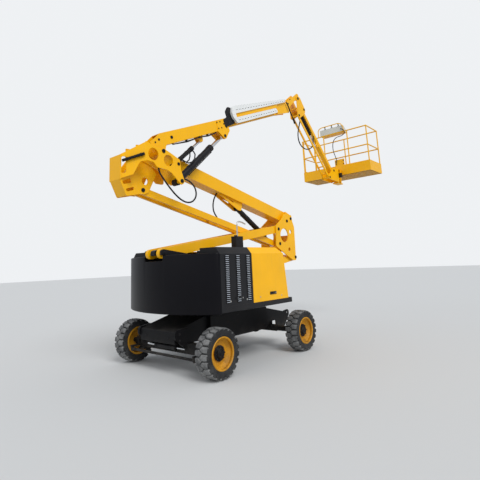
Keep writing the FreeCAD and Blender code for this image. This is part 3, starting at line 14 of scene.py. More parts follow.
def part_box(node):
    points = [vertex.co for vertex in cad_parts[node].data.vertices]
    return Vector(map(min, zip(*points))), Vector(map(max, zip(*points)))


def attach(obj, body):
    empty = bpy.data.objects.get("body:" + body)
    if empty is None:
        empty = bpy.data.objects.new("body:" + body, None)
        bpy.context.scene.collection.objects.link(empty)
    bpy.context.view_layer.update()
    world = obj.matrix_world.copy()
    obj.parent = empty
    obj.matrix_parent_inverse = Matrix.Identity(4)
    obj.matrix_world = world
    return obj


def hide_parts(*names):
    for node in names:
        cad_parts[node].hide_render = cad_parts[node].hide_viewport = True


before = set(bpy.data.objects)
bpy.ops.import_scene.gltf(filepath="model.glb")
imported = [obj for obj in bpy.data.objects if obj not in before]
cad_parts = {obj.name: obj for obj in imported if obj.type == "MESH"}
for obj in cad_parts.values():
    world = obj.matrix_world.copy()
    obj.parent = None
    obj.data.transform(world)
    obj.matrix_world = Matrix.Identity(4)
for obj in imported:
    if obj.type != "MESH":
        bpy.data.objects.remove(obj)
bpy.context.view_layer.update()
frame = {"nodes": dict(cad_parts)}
LOG = logging.getLogger("boom_lift")

Point = Sequence[float]
Node = bpy.types.Node
Socket = bpy.types.NodeSocket

SMOOTH_ANGLE = math.radians(38.0)
FLAT_ANGLE = math.radians(0.5)
MERGE = 1e-5
FULL_TURN = 2 * math.pi
BALL_RINGS = 8
SIDES = {"left": 1, "right": -1}


# Finishes
class Look(Enum):
    """The finishes that the machine's surfaces take."""

    YELLOW = "yellow_enamel"
    RAIL = "rail_enamel"
    BLACK = "black_enamel"
    CHASSIS = "chassis_enamel"
    CAST = "cast_weight"
    RIM = "rim_enamel"
    TYRE = "tyre_rubber"
    TREAD = "worn_tread"
    CHROME = "rod_chrome"
    ZINC = "plated_steel"
    CARRIER = "carrier_plastic"
    CONSOLE = "console_shell"
    KNOB = "knob_plastic"
    HOSE = "hose_rubber"
    # near-black: painted shade in the louvre slots, the carrier's link windows and the floor's gaps
    SHADE = "painted_shade"
    GRATE = "floor_grating"
    # pale grey: painted highlight on the louvres' edges, and the real grey joint lines of the hose carrier
    JOINT_AND_HIGHLIGHT = "joint_grey_and_painted_highlight"


@dataclass(frozen=True)
class Finish:
    """A finish: its base, its unevenness, its fine relief, its soiling, chips, run marks and gloss."""

    colour: tuple[float, float, float]
    roughness: float
    metallic: float = 0.0
    clear: float = 0.0
    tone: float = 0.06
    tone_scale: float = 2.5
    relief_scale: float = 180.0
    relief: float = 0.0004
    soil: float = 0.25
    soil_top: float = 1.2
    soil_colour: tuple[float, float, float] = (0.27, 0.24, 0.20)
    chips: float = 0.0
    streaks: float = 0.0
    gloss: float = 0.5


FINISHES = {
    Look.YELLOW: Finish((0.92, 0.462, 0.0), 0.38, clear=0.08, tone=0.05, soil=0.12, streaks=0.08,
                        gloss=0.28, soil_colour=(0.40, 0.25, 0.08)),
    Look.RAIL: Finish((0.88, 0.470, 0.005), 0.38, clear=0.1, tone=0.05, soil=0.1, gloss=0.28),
    Look.BLACK: Finish((0.010, 0.010, 0.012), 0.40, tone=0.2, soil=0.10, gloss=0.22),
    Look.CHASSIS: Finish((0.005, 0.005, 0.006), 0.48, tone=0.25, soil=0.26, soil_top=0.55, chips=0.25,
                         gloss=0.14),
    Look.CAST: Finish((0.0036, 0.0034, 0.0052), 0.36, tone=0.12, relief_scale=90.0, relief=0.0008,
                      soil=0.02, gloss=0.12),
    Look.RIM: Finish((0.62, 0.285, 0.008), 0.44, tone=0.12, soil=0.9, soil_top=0.75,
                     soil_colour=(0.13, 0.065, 0.022), chips=0.4, gloss=0.3),
    Look.TYRE: Finish((0.013, 0.013, 0.014), 0.70, tone=0.25, tone_scale=9.0, relief_scale=130.0,
                      relief=0.0010, soil=0.45, soil_top=0.95, soil_colour=(0.12, 0.12, 0.115), gloss=0.3),
    Look.TREAD: Finish((0.060, 0.061, 0.063), 0.62, tone=0.30, tone_scale=14.0, relief_scale=120.0,
                       relief=0.0012, soil=0.95, soil_top=1.10, soil_colour=(0.27, 0.27, 0.265)),
    Look.CHROME: Finish((0.78, 0.79, 0.80), 0.10, metallic=1.0, tone=0.03, relief=0.00005, soil=0.0),
    Look.ZINC: Finish((0.62, 0.62, 0.60), 0.30, metallic=1.0, tone=0.12, soil=0.2),
    Look.CARRIER: Finish((0.80, 0.81, 0.79), 0.42, tone=0.04, soil=0.03),
    Look.CONSOLE: Finish((0.60, 0.60, 0.54), 0.5, tone=0.05, relief_scale=320.0, relief=0.0005, soil=0.1),
    Look.KNOB: Finish((0.008, 0.008, 0.009), 0.35, tone=0.1, soil=0.0, gloss=0.3),
    Look.HOSE: Finish((0.011, 0.011, 0.012), 0.5, tone=0.15, relief_scale=260.0, relief=0.0006, soil=0.08,
                      gloss=0.3),
    # painted shade: near-black sheets set in openings and gaps that would only be dark from shade
    Look.SHADE: Finish((0.004, 0.004, 0.005), 0.8, tone=0.0, soil=0.0, gloss=0.1),
    Look.GRATE: Finish((0.66, 0.32, 0.006), 0.45, tone=0.15, soil=0.5, soil_top=9.0, chips=0.3),
    # pale bluish grey: painted highlight strips on the louvres, and the carrier's real joint lines
    Look.JOINT_AND_HIGHLIGHT: Finish((0.62, 0.67, 0.74), 0.35, tone=0.12, soil=0.1)}


class GroupBench:
    """Builds one shader node group."""

    def __init__(self, name: str) -> None:
        """Starts an empty group of that name."""
        self.tree = bpy.data.node_groups.new(name, "ShaderNodeTree")
        self.entry = self.tree.nodes.new("NodeGroupInput")
        self.exit = self.tree.nodes.new("NodeGroupOutput")

    def takes(self, name: str, kind: str = "NodeSocketFloat", default: object = None) -> None:
        """Adds a named input.

        Args:
            name: the input's name.
            kind: its socket type.
            default: its starting value.
        """
        socket = self.tree.interface.new_socket(name=name, in_out="INPUT", socket_type=kind)
        if default is not None:
            socket.default_value = default

    def gives(self, name: str, source: Socket, kind: str = "NodeSocketFloat") -> None:
        """Adds a named output fed by a socket of the group."""
        self.tree.interface.new_socket(name=name, in_out="OUTPUT", socket_type=kind)
        self.tree.links.new(source, self.exit.inputs[name])

    def node(self, kind: str, **settings: object) -> Node:
        """Adds a node with some of its settings."""
        made = self.tree.nodes.new(kind)
        for key, value in settings.items():
            setattr(made, key, value)
        return made

    def link(self, source: Socket, target: Socket) -> None:
        """Joins two sockets."""
        self.tree.links.new(source, target)

    def math(self, operation: str, first: object, second: object = 0.0, clamp: bool = False) -> Socket:
        """Adds a sum of two values, each a socket or a number.

        Returns:
            The socket of the result.
        """
        made = self.node("ShaderNodeMath", operation=operation, use_clamp=clamp)
        for place, value in enumerate((first, second)):
            if isinstance(value, bpy.types.NodeSocket):
                self.link(value, made.inputs[place])
            else:
                made.inputs[place].default_value = value
        return made.outputs[0]

    def ramp(self, value: Socket, low: object, high: object) -> Socket:
        """Maps a value between two bounds to 0 to 1, smoothly.

        Returns:
            The socket of the mapped value.
        """
        made = self.node("ShaderNodeMapRange", interpolation_type="SMOOTHSTEP")
        self.link(value, made.inputs["Value"])
        for name, bound in (("From Min", low), ("From Max", high)):
            if isinstance(bound, bpy.types.NodeSocket):
                self.link(bound, made.inputs[name])
            else:
                made.inputs[name].default_value = bound
        return made.outputs["Result"]

    def noise(self, scale: object, detail: float, stretch: Optional[Point] = None) -> Socket:
        """Adds a noise on Object coordinates.

        Args:
            scale: a number or a socket.
            detail: the noise's detail.
            stretch: a scale for each axis, where the pattern is drawn out.

        Returns:
            The socket of the noise's value.
        """
        place = self.node("ShaderNodeTexCoord").outputs["Object"]
        if stretch is not None:
            mapping = self.node("ShaderNodeMapping")
            mapping.inputs["Scale"].default_value = stretch
            self.link(place, mapping.inputs["Vector"])
            place = mapping.outputs["Vector"]
        made = self.node("ShaderNodeTexNoise")
        self.link(place, made.inputs["Vector"])
        made.inputs["Detail"].default_value = detail
        if isinstance(scale, bpy.types.NodeSocket):
            self.link(scale, made.inputs["Scale"])
        else:
            made.inputs["Scale"].default_value = scale
        return made.outputs["Fac"]


class SharedEffects:
    """The node groups that several finishes use."""

    def __init__(self) -> None:
        """Builds each group once."""
        self.tone = self.uneven_tone()
        self.soil = self.settled_soil()
        self.relief = self.fine_relief()
        self.chips = self.small_chips()
        self.streaks = self.run_marks()

    def uneven_tone(self) -> bpy.types.NodeTree:
        """A colour that drifts a little over a surface."""
        bench = GroupBench("Uneven tone")
        bench.takes("Colour", "NodeSocketColor", (0.5, 0.5, 0.5, 1.0))
        bench.takes("Amount", default=0.05)
        bench.takes("Scale", default=2.5)
        drift = bench.math("SUBTRACT", bench.noise(bench.entry.outputs["Scale"], 5.0), 0.5)
        reach = bench.math("MULTIPLY", bench.entry.outputs["Amount"], 4.0)
        factor = bench.math("ADD", bench.math("MULTIPLY", drift, reach), 1.0)
        scaled = bench.node("ShaderNodeVectorMath", operation="SCALE")
        bench.link(bench.entry.outputs["Colour"], scaled.inputs[0])
        bench.link(factor, scaled.inputs["Scale"])
        bench.gives("Colour", scaled.outputs["Vector"], "NodeSocketColor")
        return bench.tree

    def settled_soil(self) -> bpy.types.NodeTree:
        """A mask of road dust: thick low down and on upward faces, broken up by noise."""
        bench = GroupBench("Settled soil")
        bench.takes("Amount", default=0.3)
        bench.takes("Top", default=1.0)
        place = bench.node("ShaderNodeSeparateXYZ")
        bench.link(bench.node("ShaderNodeTexCoord").outputs["Object"], place.inputs[0])
        low = bench.math("SUBTRACT", 1.0, bench.ramp(place.outputs["Z"], 0.0, bench.entry.outputs["Top"]))
        turn = bench.node("ShaderNodeSeparateXYZ")
        bench.link(bench.node("ShaderNodeNewGeometry").outputs["Normal"], turn.inputs[0])
        up = bench.math("MULTIPLY", bench.ramp(turn.outputs["Z"], 0.3, 1.0), 0.45)
        cloud = bench.ramp(bench.noise(7.0, 9.0), 0.34, 0.68)
        speck = bench.ramp(bench.noise(55.0, 4.0), 0.38, 0.70)
        broken = bench.math("ADD", bench.math("MULTIPLY", cloud, 0.65), bench.math("MULTIPLY", speck, 0.35))
        mask = bench.math("MULTIPLY", bench.math("ADD", low, up), broken)
        bench.gives("Mask", bench.math("MULTIPLY", mask, bench.entry.outputs["Amount"], clamp=True))
        return bench.tree

    def fine_relief(self) -> bpy.types.NodeTree:
        """The height of a skin: a fine grain on a slower ripple."""
        bench = GroupBench("Fine relief")
        bench.takes("Scale", default=180.0)
        grain = bench.noise(bench.entry.outputs["Scale"], 3.0)
        ripple = bench.math("MULTIPLY", bench.noise(14.0, 2.0), 0.6)
        bench.gives("Height", bench.math("ADD", grain, ripple))
        return bench.tree

    def small_chips(self) -> bpy.types.NodeTree:
        """A mask of small chips and scuffs in a coat."""
        bench = GroupBench("Small chips")
        bench.takes("Amount", default=0.3)
        fine = bench.ramp(bench.noise(38.0, 8.0), 0.66, 0.70)
        where = bench.ramp(bench.noise(3.0, 3.0), 0.46, 0.66)
        bench.gives("Mask", bench.math("MULTIPLY", bench.math("MULTIPLY", fine, where),
                                       bench.entry.outputs["Amount"], clamp=True))
        return bench.tree

    def run_marks(self) -> bpy.types.NodeTree:
        """A mask of faint marks that rain has drawn down a side."""
        bench = GroupBench("Run marks")
        bench.takes("Amount", default=0.1)
        drawn = bench.ramp(bench.noise(1.0, 6.0, (22.0, 22.0, 1.3)), 0.52, 0.75)
        bench.gives("Mask", bench.math("MULTIPLY", drawn, bench.entry.outputs["Amount"], clamp=True))
        return bench.tree


class Palette:
    """Makes each finish's material once."""

    coat_roughness: float = 0.12
    bump_strength: float = 0.6
    chip_colour: tuple[float, float, float] = (0.11, 0.09, 0.08)
    streak_rise: float = 0.3
    chip_rise: float = 0.25
    soil_rise: float = 0.45

    def __init__(self) -> None:
        """Prepares the shared groups."""
        self.effects = SharedEffects()
        self.made: dict[Look, bpy.types.Material] = {}

    def get(self, look: Look) -> bpy.types.Material:
        """The material of a finish."""
        if look not in self.made:
            self.made[look] = self.build(look.value, FINISHES[look])
        return self.made[look]

    def build(self, name: str, finish: Finish) -> bpy.types.Material:
        """Builds a material from a finish.

        Args:
            name: the material's name.
            finish: its values.

        Returns:
            The material.
        """
        material = bpy.data.materials.new(name)
        material.use_nodes = True
        tree = material.node_tree
        shader = tree.nodes["Principled BSDF"]
        shader.inputs["Metallic"].default_value = finish.metallic
        shader.inputs["Specular IOR Level"].default_value = finish.gloss
        shader.inputs["Coat Weight"].default_value = finish.clear
        shader.inputs["Coat Roughness"].default_value = self.coat_roughness

        def place(group: bpy.types.NodeTree, **values: object) -> Node:
            """Adds a shared group with its values."""
            made = tree.nodes.new("ShaderNodeGroup")
            made.node_tree = group
            for key, value in values.items():
                made.inputs[key].default_value = value
            return made

        def blend(under: Socket, over: tuple[float, float, float], mask: Socket) -> Socket:
            """Lays a colour over another where a mask is white."""
            made = tree.nodes.new("ShaderNodeMix")
            made.data_type = "RGBA"
            tree.links.new(mask, made.inputs["Factor"])
            tree.links.new(under, made.inputs[6])
            made.inputs[7].default_value = (*over, 1.0)
            return made.outputs[2]

        def raised(under: Optional[Socket], start: float, mask: Socket, step: float) -> Socket:
            """Adds roughness where a mask is white, to a socket or else to a starting value."""
            made = tree.nodes.new("ShaderNodeMath")
            made.operation = "MULTIPLY_ADD"
            tree.links.new(mask, made.inputs[0])
            made.inputs[1].default_value = step
            if under is None:
                made.inputs[2].default_value = start
            else:
                tree.links.new(under, made.inputs[2])
            return made.outputs[0]

        tone = place(self.effects.tone, Colour=(*finish.colour, 1.0), Amount=finish.tone,
                     Scale=finish.tone_scale)
        colour = tone.outputs["Colour"]
        rough: Optional[Socket] = None
        if finish.streaks:
            marks = place(self.effects.streaks, Amount=finish.streaks).outputs["Mask"]
            colour = blend(colour, finish.soil_colour, marks)
            rough = raised(rough, finish.roughness, marks, self.streak_rise)
        if finish.chips:
            chips = place(self.effects.chips, Amount=finish.chips).outputs["Mask"]
            colour = blend(colour, self.chip_colour, chips)
            rough = raised(rough, finish.roughness, chips, self.chip_rise)
        if finish.soil:
            soil = place(self.effects.soil, Amount=finish.soil, Top=finish.soil_top).outputs["Mask"]
            colour = blend(colour, finish.soil_colour, soil)
            rough = raised(rough, finish.roughness, soil, self.soil_rise)
        tree.links.new(colour, shader.inputs["Base Color"])
        if rough is None:
            shader.inputs["Roughness"].default_value = finish.roughness
        else:
            tree.links.new(rough, shader.inputs["Roughness"])
        bump = tree.nodes.new("ShaderNodeBump")
        bump.inputs["Distance"].default_value = finish.relief
        bump.inputs["Strength"].default_value = self.bump_strength
        height = place(self.effects.relief, Scale=finish.relief_scale).outputs["Height"]
        tree.links.new(height, bump.inputs["Height"])
        tree.links.new(bump.outputs["Normal"], shader.inputs["Normal"])
        return material


WHEEL_NAMES = ("steer_left", "steer_right", "drive_left", "drive_right")
RAM_NAMES = ("riser", "lift", "level", "jib")
NODE_LOOKS = {
    Look.YELLOW: ("lower_arms", "lower_link", "lower_knuckle", "upper_beam", "upper_link", "upper_knuckle",
                  "main_boom", "fly_boom", "jib_bracket", "jib_arm", "jib_link", "platform_bracket",
                  "platform_mount", "platform_tray", "hood_left", "hood_right"),
    Look.RAIL: ("guard_rails", "gate"),
    Look.BLACK: ("turret_frame", "vent_covers", "inner_covers", "turret_post", "carrier_guide",
                 *(name + "_barrel" for name in RAM_NAMES)),
    Look.CHASSIS: ("chassis_frame", "axles", "knuckle_left", "knuckle_right", "tie_rod", "engine_block"),
    Look.CAST: ("counterweight",),
    Look.RIM: tuple("rim_" + name for name in WHEEL_NAMES),
    Look.TYRE: tuple("tyre_" + name for name in WHEEL_NAMES),
    Look.CHROME: tuple(name + "_rod" for name in RAM_NAMES),
    Look.CARRIER: ("hose_carrier",),
    Look.CONSOLE: ("control_box",)}

PALETTE = Palette()


def dress_nodes() -> None:
    """Gives every node of the frame its finish."""
    for look, names in NODE_LOOKS.items():
        for name in names:
            for place in frame["nodes"][name].material_slots:
                place.material = PALETTE.get(look)


# Shapes
def facing(direction: Point, at: Point) -> Matrix:
    """The matrix that points a part's Z axis along a direction, at a point."""
    return Matrix.Translation(at) @ Vector(direction).to_track_quat("Z", "Y").to_matrix().to_4x4()


@dataclass(frozen=True)
class Slant:
    """A slanted frame in side view: along and across a beam, from an origin in metres."""

    x: float
    z: float
    degrees: float

    def point(self, along: float, across: float, y: float) -> Vector:
        """The point at those distances."""
        c, s = math.cos(math.radians(self.degrees)), math.sin(math.radians(self.degrees))
        return Vector((self.x + along * c - across * s, y, self.z + along * s + across * c))

    def matrix(self, along: float, across: float, y: float) -> Matrix:
        """The matrix that lays a part's X along the beam and its Z across it."""
        turn = Matrix.Rotation(-math.radians(self.degrees), 4, "Y")
        return Matrix.Translation(self.point(along, across, y)) @ turn


def rounded(part: bmesh.types.BMesh, edges: Sequence[bmesh.types.BMEdge], offset: float,
            segments: int = 2, clamp: bool = False) -> None:
    """Rounds some edges of a part.

    Args:
        part: the part.
        edges: its edges to round.
        offset: how far the rounding reaches.
        segments: the rounding's steps.
        clamp: whether roundings that meet are held back.
    """
    bmesh.ops.bevel(part, geom=edges, offset=offset, offset_type="OFFSET", affect="EDGES", segments=segments,
                    profile=0.5, material=-1, clamp_overlap=clamp)


def shown(name: str, data: bpy.types.ID) -> bpy.types.Object:
    """Makes an object of some data and puts it in the scene."""
    made = bpy.data.objects.new(name, data)
    bpy.context.scene.collection.objects.link(made)
    return made


def block(size: Point, edge: float = 0.0, segments: int = 2) -> bmesh.types.BMesh:
    """A block about the origin with rounded edges."""
    part = bmesh.new()
    bmesh.ops.create_cube(part, size=1.0)
    bmesh.ops.scale(part, vec=size, verts=part.verts)
    if edge:
        rounded(part, part.edges[:], edge, segments)
    return part


def drum(radius: float, length: float, sides: int = 20, edge: float = 0.0,
         top: Optional[float] = None) -> bmesh.types.BMesh:
    """A round or many-sided bar from the origin up Z, with its far rim rounded.

    Args:
        radius: its radius at the origin.
        length: its length.
        sides: its number of sides.
        edge: the rounding of its far rim.
        top: its radius at the far end, where that differs.

    Returns:
        The part.
    """
    part = bmesh.new()
    bmesh.ops.create_cone(part, cap_ends=True, cap_tris=False, segments=sides, radius1=radius,
                          radius2=radius if top is None else top, depth=length)
    bmesh.ops.translate(part, vec=(0, 0, length / 2), verts=part.verts)
    if edge:
        rim = [e for e in part.edges if all(v.co.z > length - 1e-6 for v in e.verts)]
        rounded(part, rim, edge)
    return part


def turned(profile: Iterable[tuple[float, float]], steps: int, closed: bool = False) -> bmesh.types.BMesh:
    """A part spun about Z from a profile of radius and height.

    Args:
        profile: its points.
        steps: the number of steps round.
        closed: whether the profile's last point joins its first.

    Returns:
        The part.
    """
    part = bmesh.new()
    points = [part.verts.new((r, 0.0, z)) for r, z in profile]
    lines = [part.edges.new(pair) for pair in zip(points, points[1:])]
    if closed:
        lines.append(part.edges.new((points[-1], points[0])))
    bmesh.ops.spin(part, geom=points + lines, cent=(0, 0, 0), axis=(0, 0, 1), dvec=(0, 0, 0),
                   angle=FULL_TURN, steps=steps, use_merge=True, use_duplicate=False)
    bmesh.ops.remove_doubles(part, verts=part.verts, dist=MERGE)
    bmesh.ops.recalc_face_normals(part, faces=part.faces)
    return part


class Stock:
    """A piece in the making: parts gathered into one mesh."""

    def __init__(self) -> None:
        """Starts with no parts."""
        self.mesh = bmesh.new()

    def add(self, part: bmesh.types.BMesh, matrix: Optional[Matrix] = None) -> None:
        """Takes in a part, moved by a matrix."""
        if matrix is not None:
            bmesh.ops.transform(part, matrix=matrix, verts=part.verts)
        scratch = bpy.data.meshes.new("scratch")
        part.to_mesh(scratch)
        part.free()
        self.mesh.from_mesh(scratch)
        bpy.data.meshes.remove(scratch)

    def bolt(self, at: Point, direction: Point, radius: float = 0.010, height: float = 0.008) -> None:
        """Adds a hexagon head on a washer."""
        self.add(drum(radius * 1.5, height * 0.25, 16), facing(direction, at))
        self.add(drum(radius, height, 6, height * 0.15), facing(direction, at))

    def bar(self, start: Point, end: Point, radius: float, sides: int = 16) -> None:
        """Adds a round bar between two points."""
        run = Vector(end) - Vector(start)
        self.add(drum(radius, run.length, sides), facing(run, start))

    def pipe(self, points: Sequence[Point], radius: float, sides: int = 12) -> None:
        """Adds a rigid pipe through its points, with a ball at each bend."""
        places = [Vector(point) for point in points]
        for start, end in zip(places, places[1:]):
            self.bar(start, end, radius, sides)
        for bend in places[1:-1]:
            ball = bmesh.new()
            bmesh.ops.create_uvsphere(ball, u_segments=sides, v_segments=BALL_RINGS, radius=radius)
            self.add(ball, Matrix.Translation(bend))

    def publish(self, name: str, body: str, look: Look, replaces: Sequence[str] = ()) -> bpy.types.Object:
        """Makes the piece an object, dresses it and sets it on a body.

        Args:
            name: the piece's name.
            body: the body that it rides on.
            look: its finish.
            replaces: the nodes that it stands for.

        Returns:
            The object.
        """
        for line in self.mesh.edges:
            line.smooth = line.calc_face_angle(math.pi) < SMOOTH_ANGLE
        for face in self.mesh.faces:
            face.smooth = True
        data = bpy.data.meshes.new(name)
        self.mesh.to_mesh(data)
        self.mesh.free()
        piece = shown(name, data)
        data.materials.append(PALETTE.get(look))
        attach(piece, body)
        if replaces:
            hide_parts(*replaces)
        LOG.info("%s: %d faces on %s", name, len(data.polygons), body)
        return piece


def softened(node: str, body: str, look: Look, edge: float) -> None:
    """Shows a copy of a cast node with its sharp edges rounded.

    Args:
        node: the node that the copy stands for.
        body: the body that it rides on.
        look: its finish.
        edge: the rounding.
    """
    stock = Stock()
    cast = stock.mesh
    cast.from_mesh(frame["nodes"][node].data)
    bmesh.ops.remove_doubles(cast, verts=cast.verts, dist=MERGE)
    bmesh.ops.dissolve_limit(cast, angle_limit=FLAT_ANGLE, verts=cast.verts, edges=cast.edges)
    sharp = [e for e in cast.edges if e.is_manifold and e.calc_face_angle(0.0) > SMOOTH_ANGLE]
    rounded(cast, sharp, edge, 3, clamp=True)
    stock.publish(node + "_cast", body, look, [node])


def cord_line(name: str, points: Sequence[Point], diameter: float) -> bpy.types.Object:
    """A hose or cable as a smooth NURBS curve through its route.

    Args:
        name: the piece's name.
        points: its route.
        diameter: its outside diameter.

    Returns:
        The curve object, not yet on a body.
    """
    data = bpy.data.curves.new(name, "CURVE")
    data.dimensions = "3D"
    data.bevel_depth = diameter / 2
    data.bevel_resolution = 4
    data.resolution_u = 10
    data.use_fill_caps = True
    spline = data.splines.new("NURBS")
    spline.points.add(len(points) - 1)
    for target, point in zip(spline.points, points):
        target.co = (*point, 1.0)
    spline.order_u = 3
    spline.use_endpoint_u = True
    piece = shown(name, data)
    data.materials.append(PALETTE.get(Look.HOSE))
    return piece


def measured(piece: bpy.types.Object) -> float:
    """The length of a curve's own line."""
    data = piece.data.copy()
    data.bevel_depth = 0.0
    line = bpy.data.objects.new("measure", data)
    mesh = bpy.data.meshes.new_from_object(line)
    places = [vert.co for vert in mesh.vertices]
    length = sum((places[e.vertices[0]] - places[e.vertices[1]]).length for e in mesh.edges)
    bpy.data.objects.remove(line)
    bpy.data.meshes.remove(mesh)
    bpy.data.curves.remove(data)
    return length


# Wheels
@dataclass
class Wheels:
    """The four lugged tyres and their hubs."""

    half_base: float = 1.0
    middle: float = 0.891
    radius: float = 0.316
    half_width: float = 0.109
    seat: float = 0.206
    lugs: int = 21
    lug_depth: float = 0.030
    lug_root: float = 0.004
    lug_edge: float = 0.003
    lug_share: float = 0.40
    lug_taper: float = 0.92
    shoulder_width: float = 0.012
    shoulder_drop: float = 0.012
    hub_out: float = 0.030
    wheel_nuts: int = 8
    nut_circle: float = 0.082
    cap_bolts: int = 4
    cap_circle: float = 0.042

    def carcass(self) -> bmesh.types.BMesh:
        """The tyre's body without its lugs, about Z."""
        w, r, s = self.half_width, self.radius - self.lug_depth, self.seat
        side = [(s + 0.001, w - 0.013), (s + 0.016, w - 0.006), (s + 0.022, w - 0.004),
                (s + 0.026, w - 0.0075), (s + 0.040, w - 0.006), (s + 0.058, w - 0.003),
                (r - 0.012, w - 0.006), (r, w - 0.022)]
        profile = side + [(p[0], -p[1]) for p in reversed(side)]
        return turned(profile, 72, closed=True)

    def lug(self, side: int, turn: float) -> tuple[bmesh.types.BMesh, Matrix]:
        """One tread lug on a side of the middle line.

        Args:
            side: 1 or -1 along the axle.
            turn: its angle round the axle.

        Returns:
            The part and its matrix.
        """
        w = self.half_width
        pitch = FULL_TURN * self.radius / self.lugs
        half = pitch * self.lug_share
        outline = [(-0.016, -half * 0.10), (0.020, -half), (w - 0.022, -half * 0.96),
                   (w - 0.004, -half * 0.72), (w - 0.004, half * 0.72), (w - 0.022, half * 0.96),
                   (0.020, half), (-0.016, half * 0.10)]
        root = self.radius - self.lug_depth - self.lug_root
        part = bmesh.new()
        face = part.faces.new([part.verts.new((root, c, a * side)) for a, c in outline])
        made = bmesh.ops.extrude_face_region(part, geom=[face])
        tops = [g for g in made["geom"] if isinstance(g, bmesh.types.BMVert)]
        bmesh.ops.translate(part, vec=(self.lug_depth + self.lug_root, 0, 0), verts=tops)
        middle = sum((v.co for v in tops), Vector()) / len(tops)
        for vert in tops:
            outside = abs(vert.co.z) > w - self.shoulder_width
            vert.co = middle + (vert.co - middle) * self.lug_taper
            vert.co.x -= self.shoulder_drop if outside else vert.co.y * vert.co.y / (2 * self.radius)
        bmesh.ops.recalc_face_normals(part, faces=part.faces)
        rounded(part, [e for e in part.edges if all(v in tops for v in e.verts)], self.lug_edge, 1)
        return part, Matrix.Rotation(turn, 4, "Z")

    def shoulder(self, side: int, turn: float) -> tuple[bmesh.types.BMesh, Matrix]:
        """The foot of a lug down the tyre's shoulder."""
        part = block((0.046, 0.052, 0.012), 0.004, 1)
        lean = Matrix.Rotation(side * math.radians(-12.0), 4, "Y")
        place = Matrix.Translation((self.radius - 0.038, 0, side * (self.half_width - 0.0085)))
        return part, Matrix.Rotation(turn, 4, "Z") @ place @ lean

    def tyre(self, wheel: str, x: float, side: int) -> None:
        """Builds one tyre in place of its plain node."""
        stock, lugs = Stock(), Stock()
        across = Matrix.Rotation(math.radians(-90.0), 4, "X")
        axle = Matrix.Translation((x, side * self.middle, self.radius)) @ across
        stock.add(self.carcass(), axle)
        step = FULL_TURN / self.lugs
        for number in range(self.lugs):
            for half, offset in ((1, 0.0), (-1, 0.5)):
                for target, made in ((lugs, self.lug), (stock, self.shoulder)):
                    part, place = made(half, (number + offset) * step)
                    target.add(part, axle @ place)
        stock.publish("tyre_carcass_" + wheel, "wheel_" + wheel, Look.TYRE, ["tyre_" + wheel])
        lugs.publish("tyre_lugs_" + wheel, "wheel_" + wheel, Look.TREAD)

    def hub(self, wheel: str, x: float, side: int) -> None:
        """Builds one hub with its nuts and studs."""
        hub, nuts = Stock(), Stock()
        axle = facing((0, side, 0), (x, side * (self.middle + self.hub_out), self.radius))
        hub.add(turned([(0.0975, -0.002), (0.0975, 0.004), (0.070, 0.0055), (0.0635, 0.010), (0.060, 0.030),
                        (0.052, 0.0375), (0.030, 0.0385), (0.027, 0.043), (0.0, 0.043)], 40), axle)
        hub.publish("hub_" + wheel, "wheel_" + wheel, Look.CHASSIS)
        for number in range(self.wheel_nuts):
            turn = FULL_TURN * number / self.wheel_nuts
            circle = self.nut_circle
            at = axle @ Vector((circle * math.cos(turn), circle * math.sin(turn), 0.0045))
            nuts.bolt(at, (0, side, 0), 0.0115, 0.013)
            nuts.bar(at, at + Vector((0, side * 0.022, 0)), 0.006, 10)
        for number in range(self.cap_bolts):
            turn = FULL_TURN * (number + 0.5) / self.cap_bolts
            circle = self.cap_circle
            at = axle @ Vector((circle * math.cos(turn), circle * math.sin(turn), 0.038))
            nuts.bolt(at, (0, side, 0), 0.007, 0.006)
        nuts.publish("wheel_nuts_" + wheel, "wheel_" + wheel, Look.BLACK)

    def build(self) -> None:
        """Builds all four wheels."""
        for axle, x in (("steer", -self.half_base), ("drive", self.half_base)):
            for name, side in SIDES.items():
                self.tyre(axle + "_" + name, x, side)
                self.hub(axle + "_" + name, x, side)


# Chassis
@dataclass
class Chassis:
    """Fittings on the chassis: bolts and the steering cylinder."""

    axle_x: float = -1.0
    axle_z: float = 0.316
    barrel_half: float = 0.20
    barrel_radius: float = 0.032
    collar_radius: float = 0.037
    rod_half: float = 0.40
    rod_radius: float = 0.014
    ring_bolts: int = 20
    ring_circle: float = 0.352
    ring_top: float = 0.710

    def steering(self) -> None:
        """The steering cylinder in front of the axle beam, on its brackets."""
        stock, rods = Stock(), Stock()
        x, z, half = self.axle_x - 0.110, self.axle_z + 0.010, self.barrel_half
        stock.bar((x, -half, z), (x, half, z), self.barrel_radius, 28)
        for y in (-half, half):
            stock.bar((x, y - 0.02, z), (x, y + 0.02, z), self.collar_radius, 28)
            stock.add(block((0.080, 0.024, 0.070), 0.004), Matrix.Translation((x + 0.030, y * 0.75, z)))
        rods.bar((x, -self.rod_half, z), (x, self.rod_half, z), self.rod_radius, 20)
        stock.publish("steering_cylinder", "chassis", Look.BLACK)
        rods.publish("steering_cylinder_rod", "chassis", Look.CHROME)

    def bolts(self) -> None:
        """Bolts on the nose, the cheeks and round the slewing ring."""
        stock = Stock()
        for side in (-1, 1):
            for x, z in ((-1.215, 0.53), (-1.215, 0.45)):
                stock.bolt((x, side * 0.412, z), (0, side, 0), 0.012, 0.009)
            stock.bolt((-1.2735, side * 0.24, 0.48), (-1, 0, 0), 0.006, 0.005)
        for number in range(self.ring_bolts):
            turn = FULL_TURN * (number + 0.5) / self.ring_bolts
            x, y = self.ring_circle * math.cos(turn), self.ring_circle * math.sin(turn)
            stock.bolt((x, y, self.ring_top), (0, 0, 1), 0.009, 0.009)
        stock.publish("chassis_bolts", "chassis", Look.BLACK)

    def build(self) -> None:
        """Builds the chassis fittings."""
        self.steering()
        self.bolts()


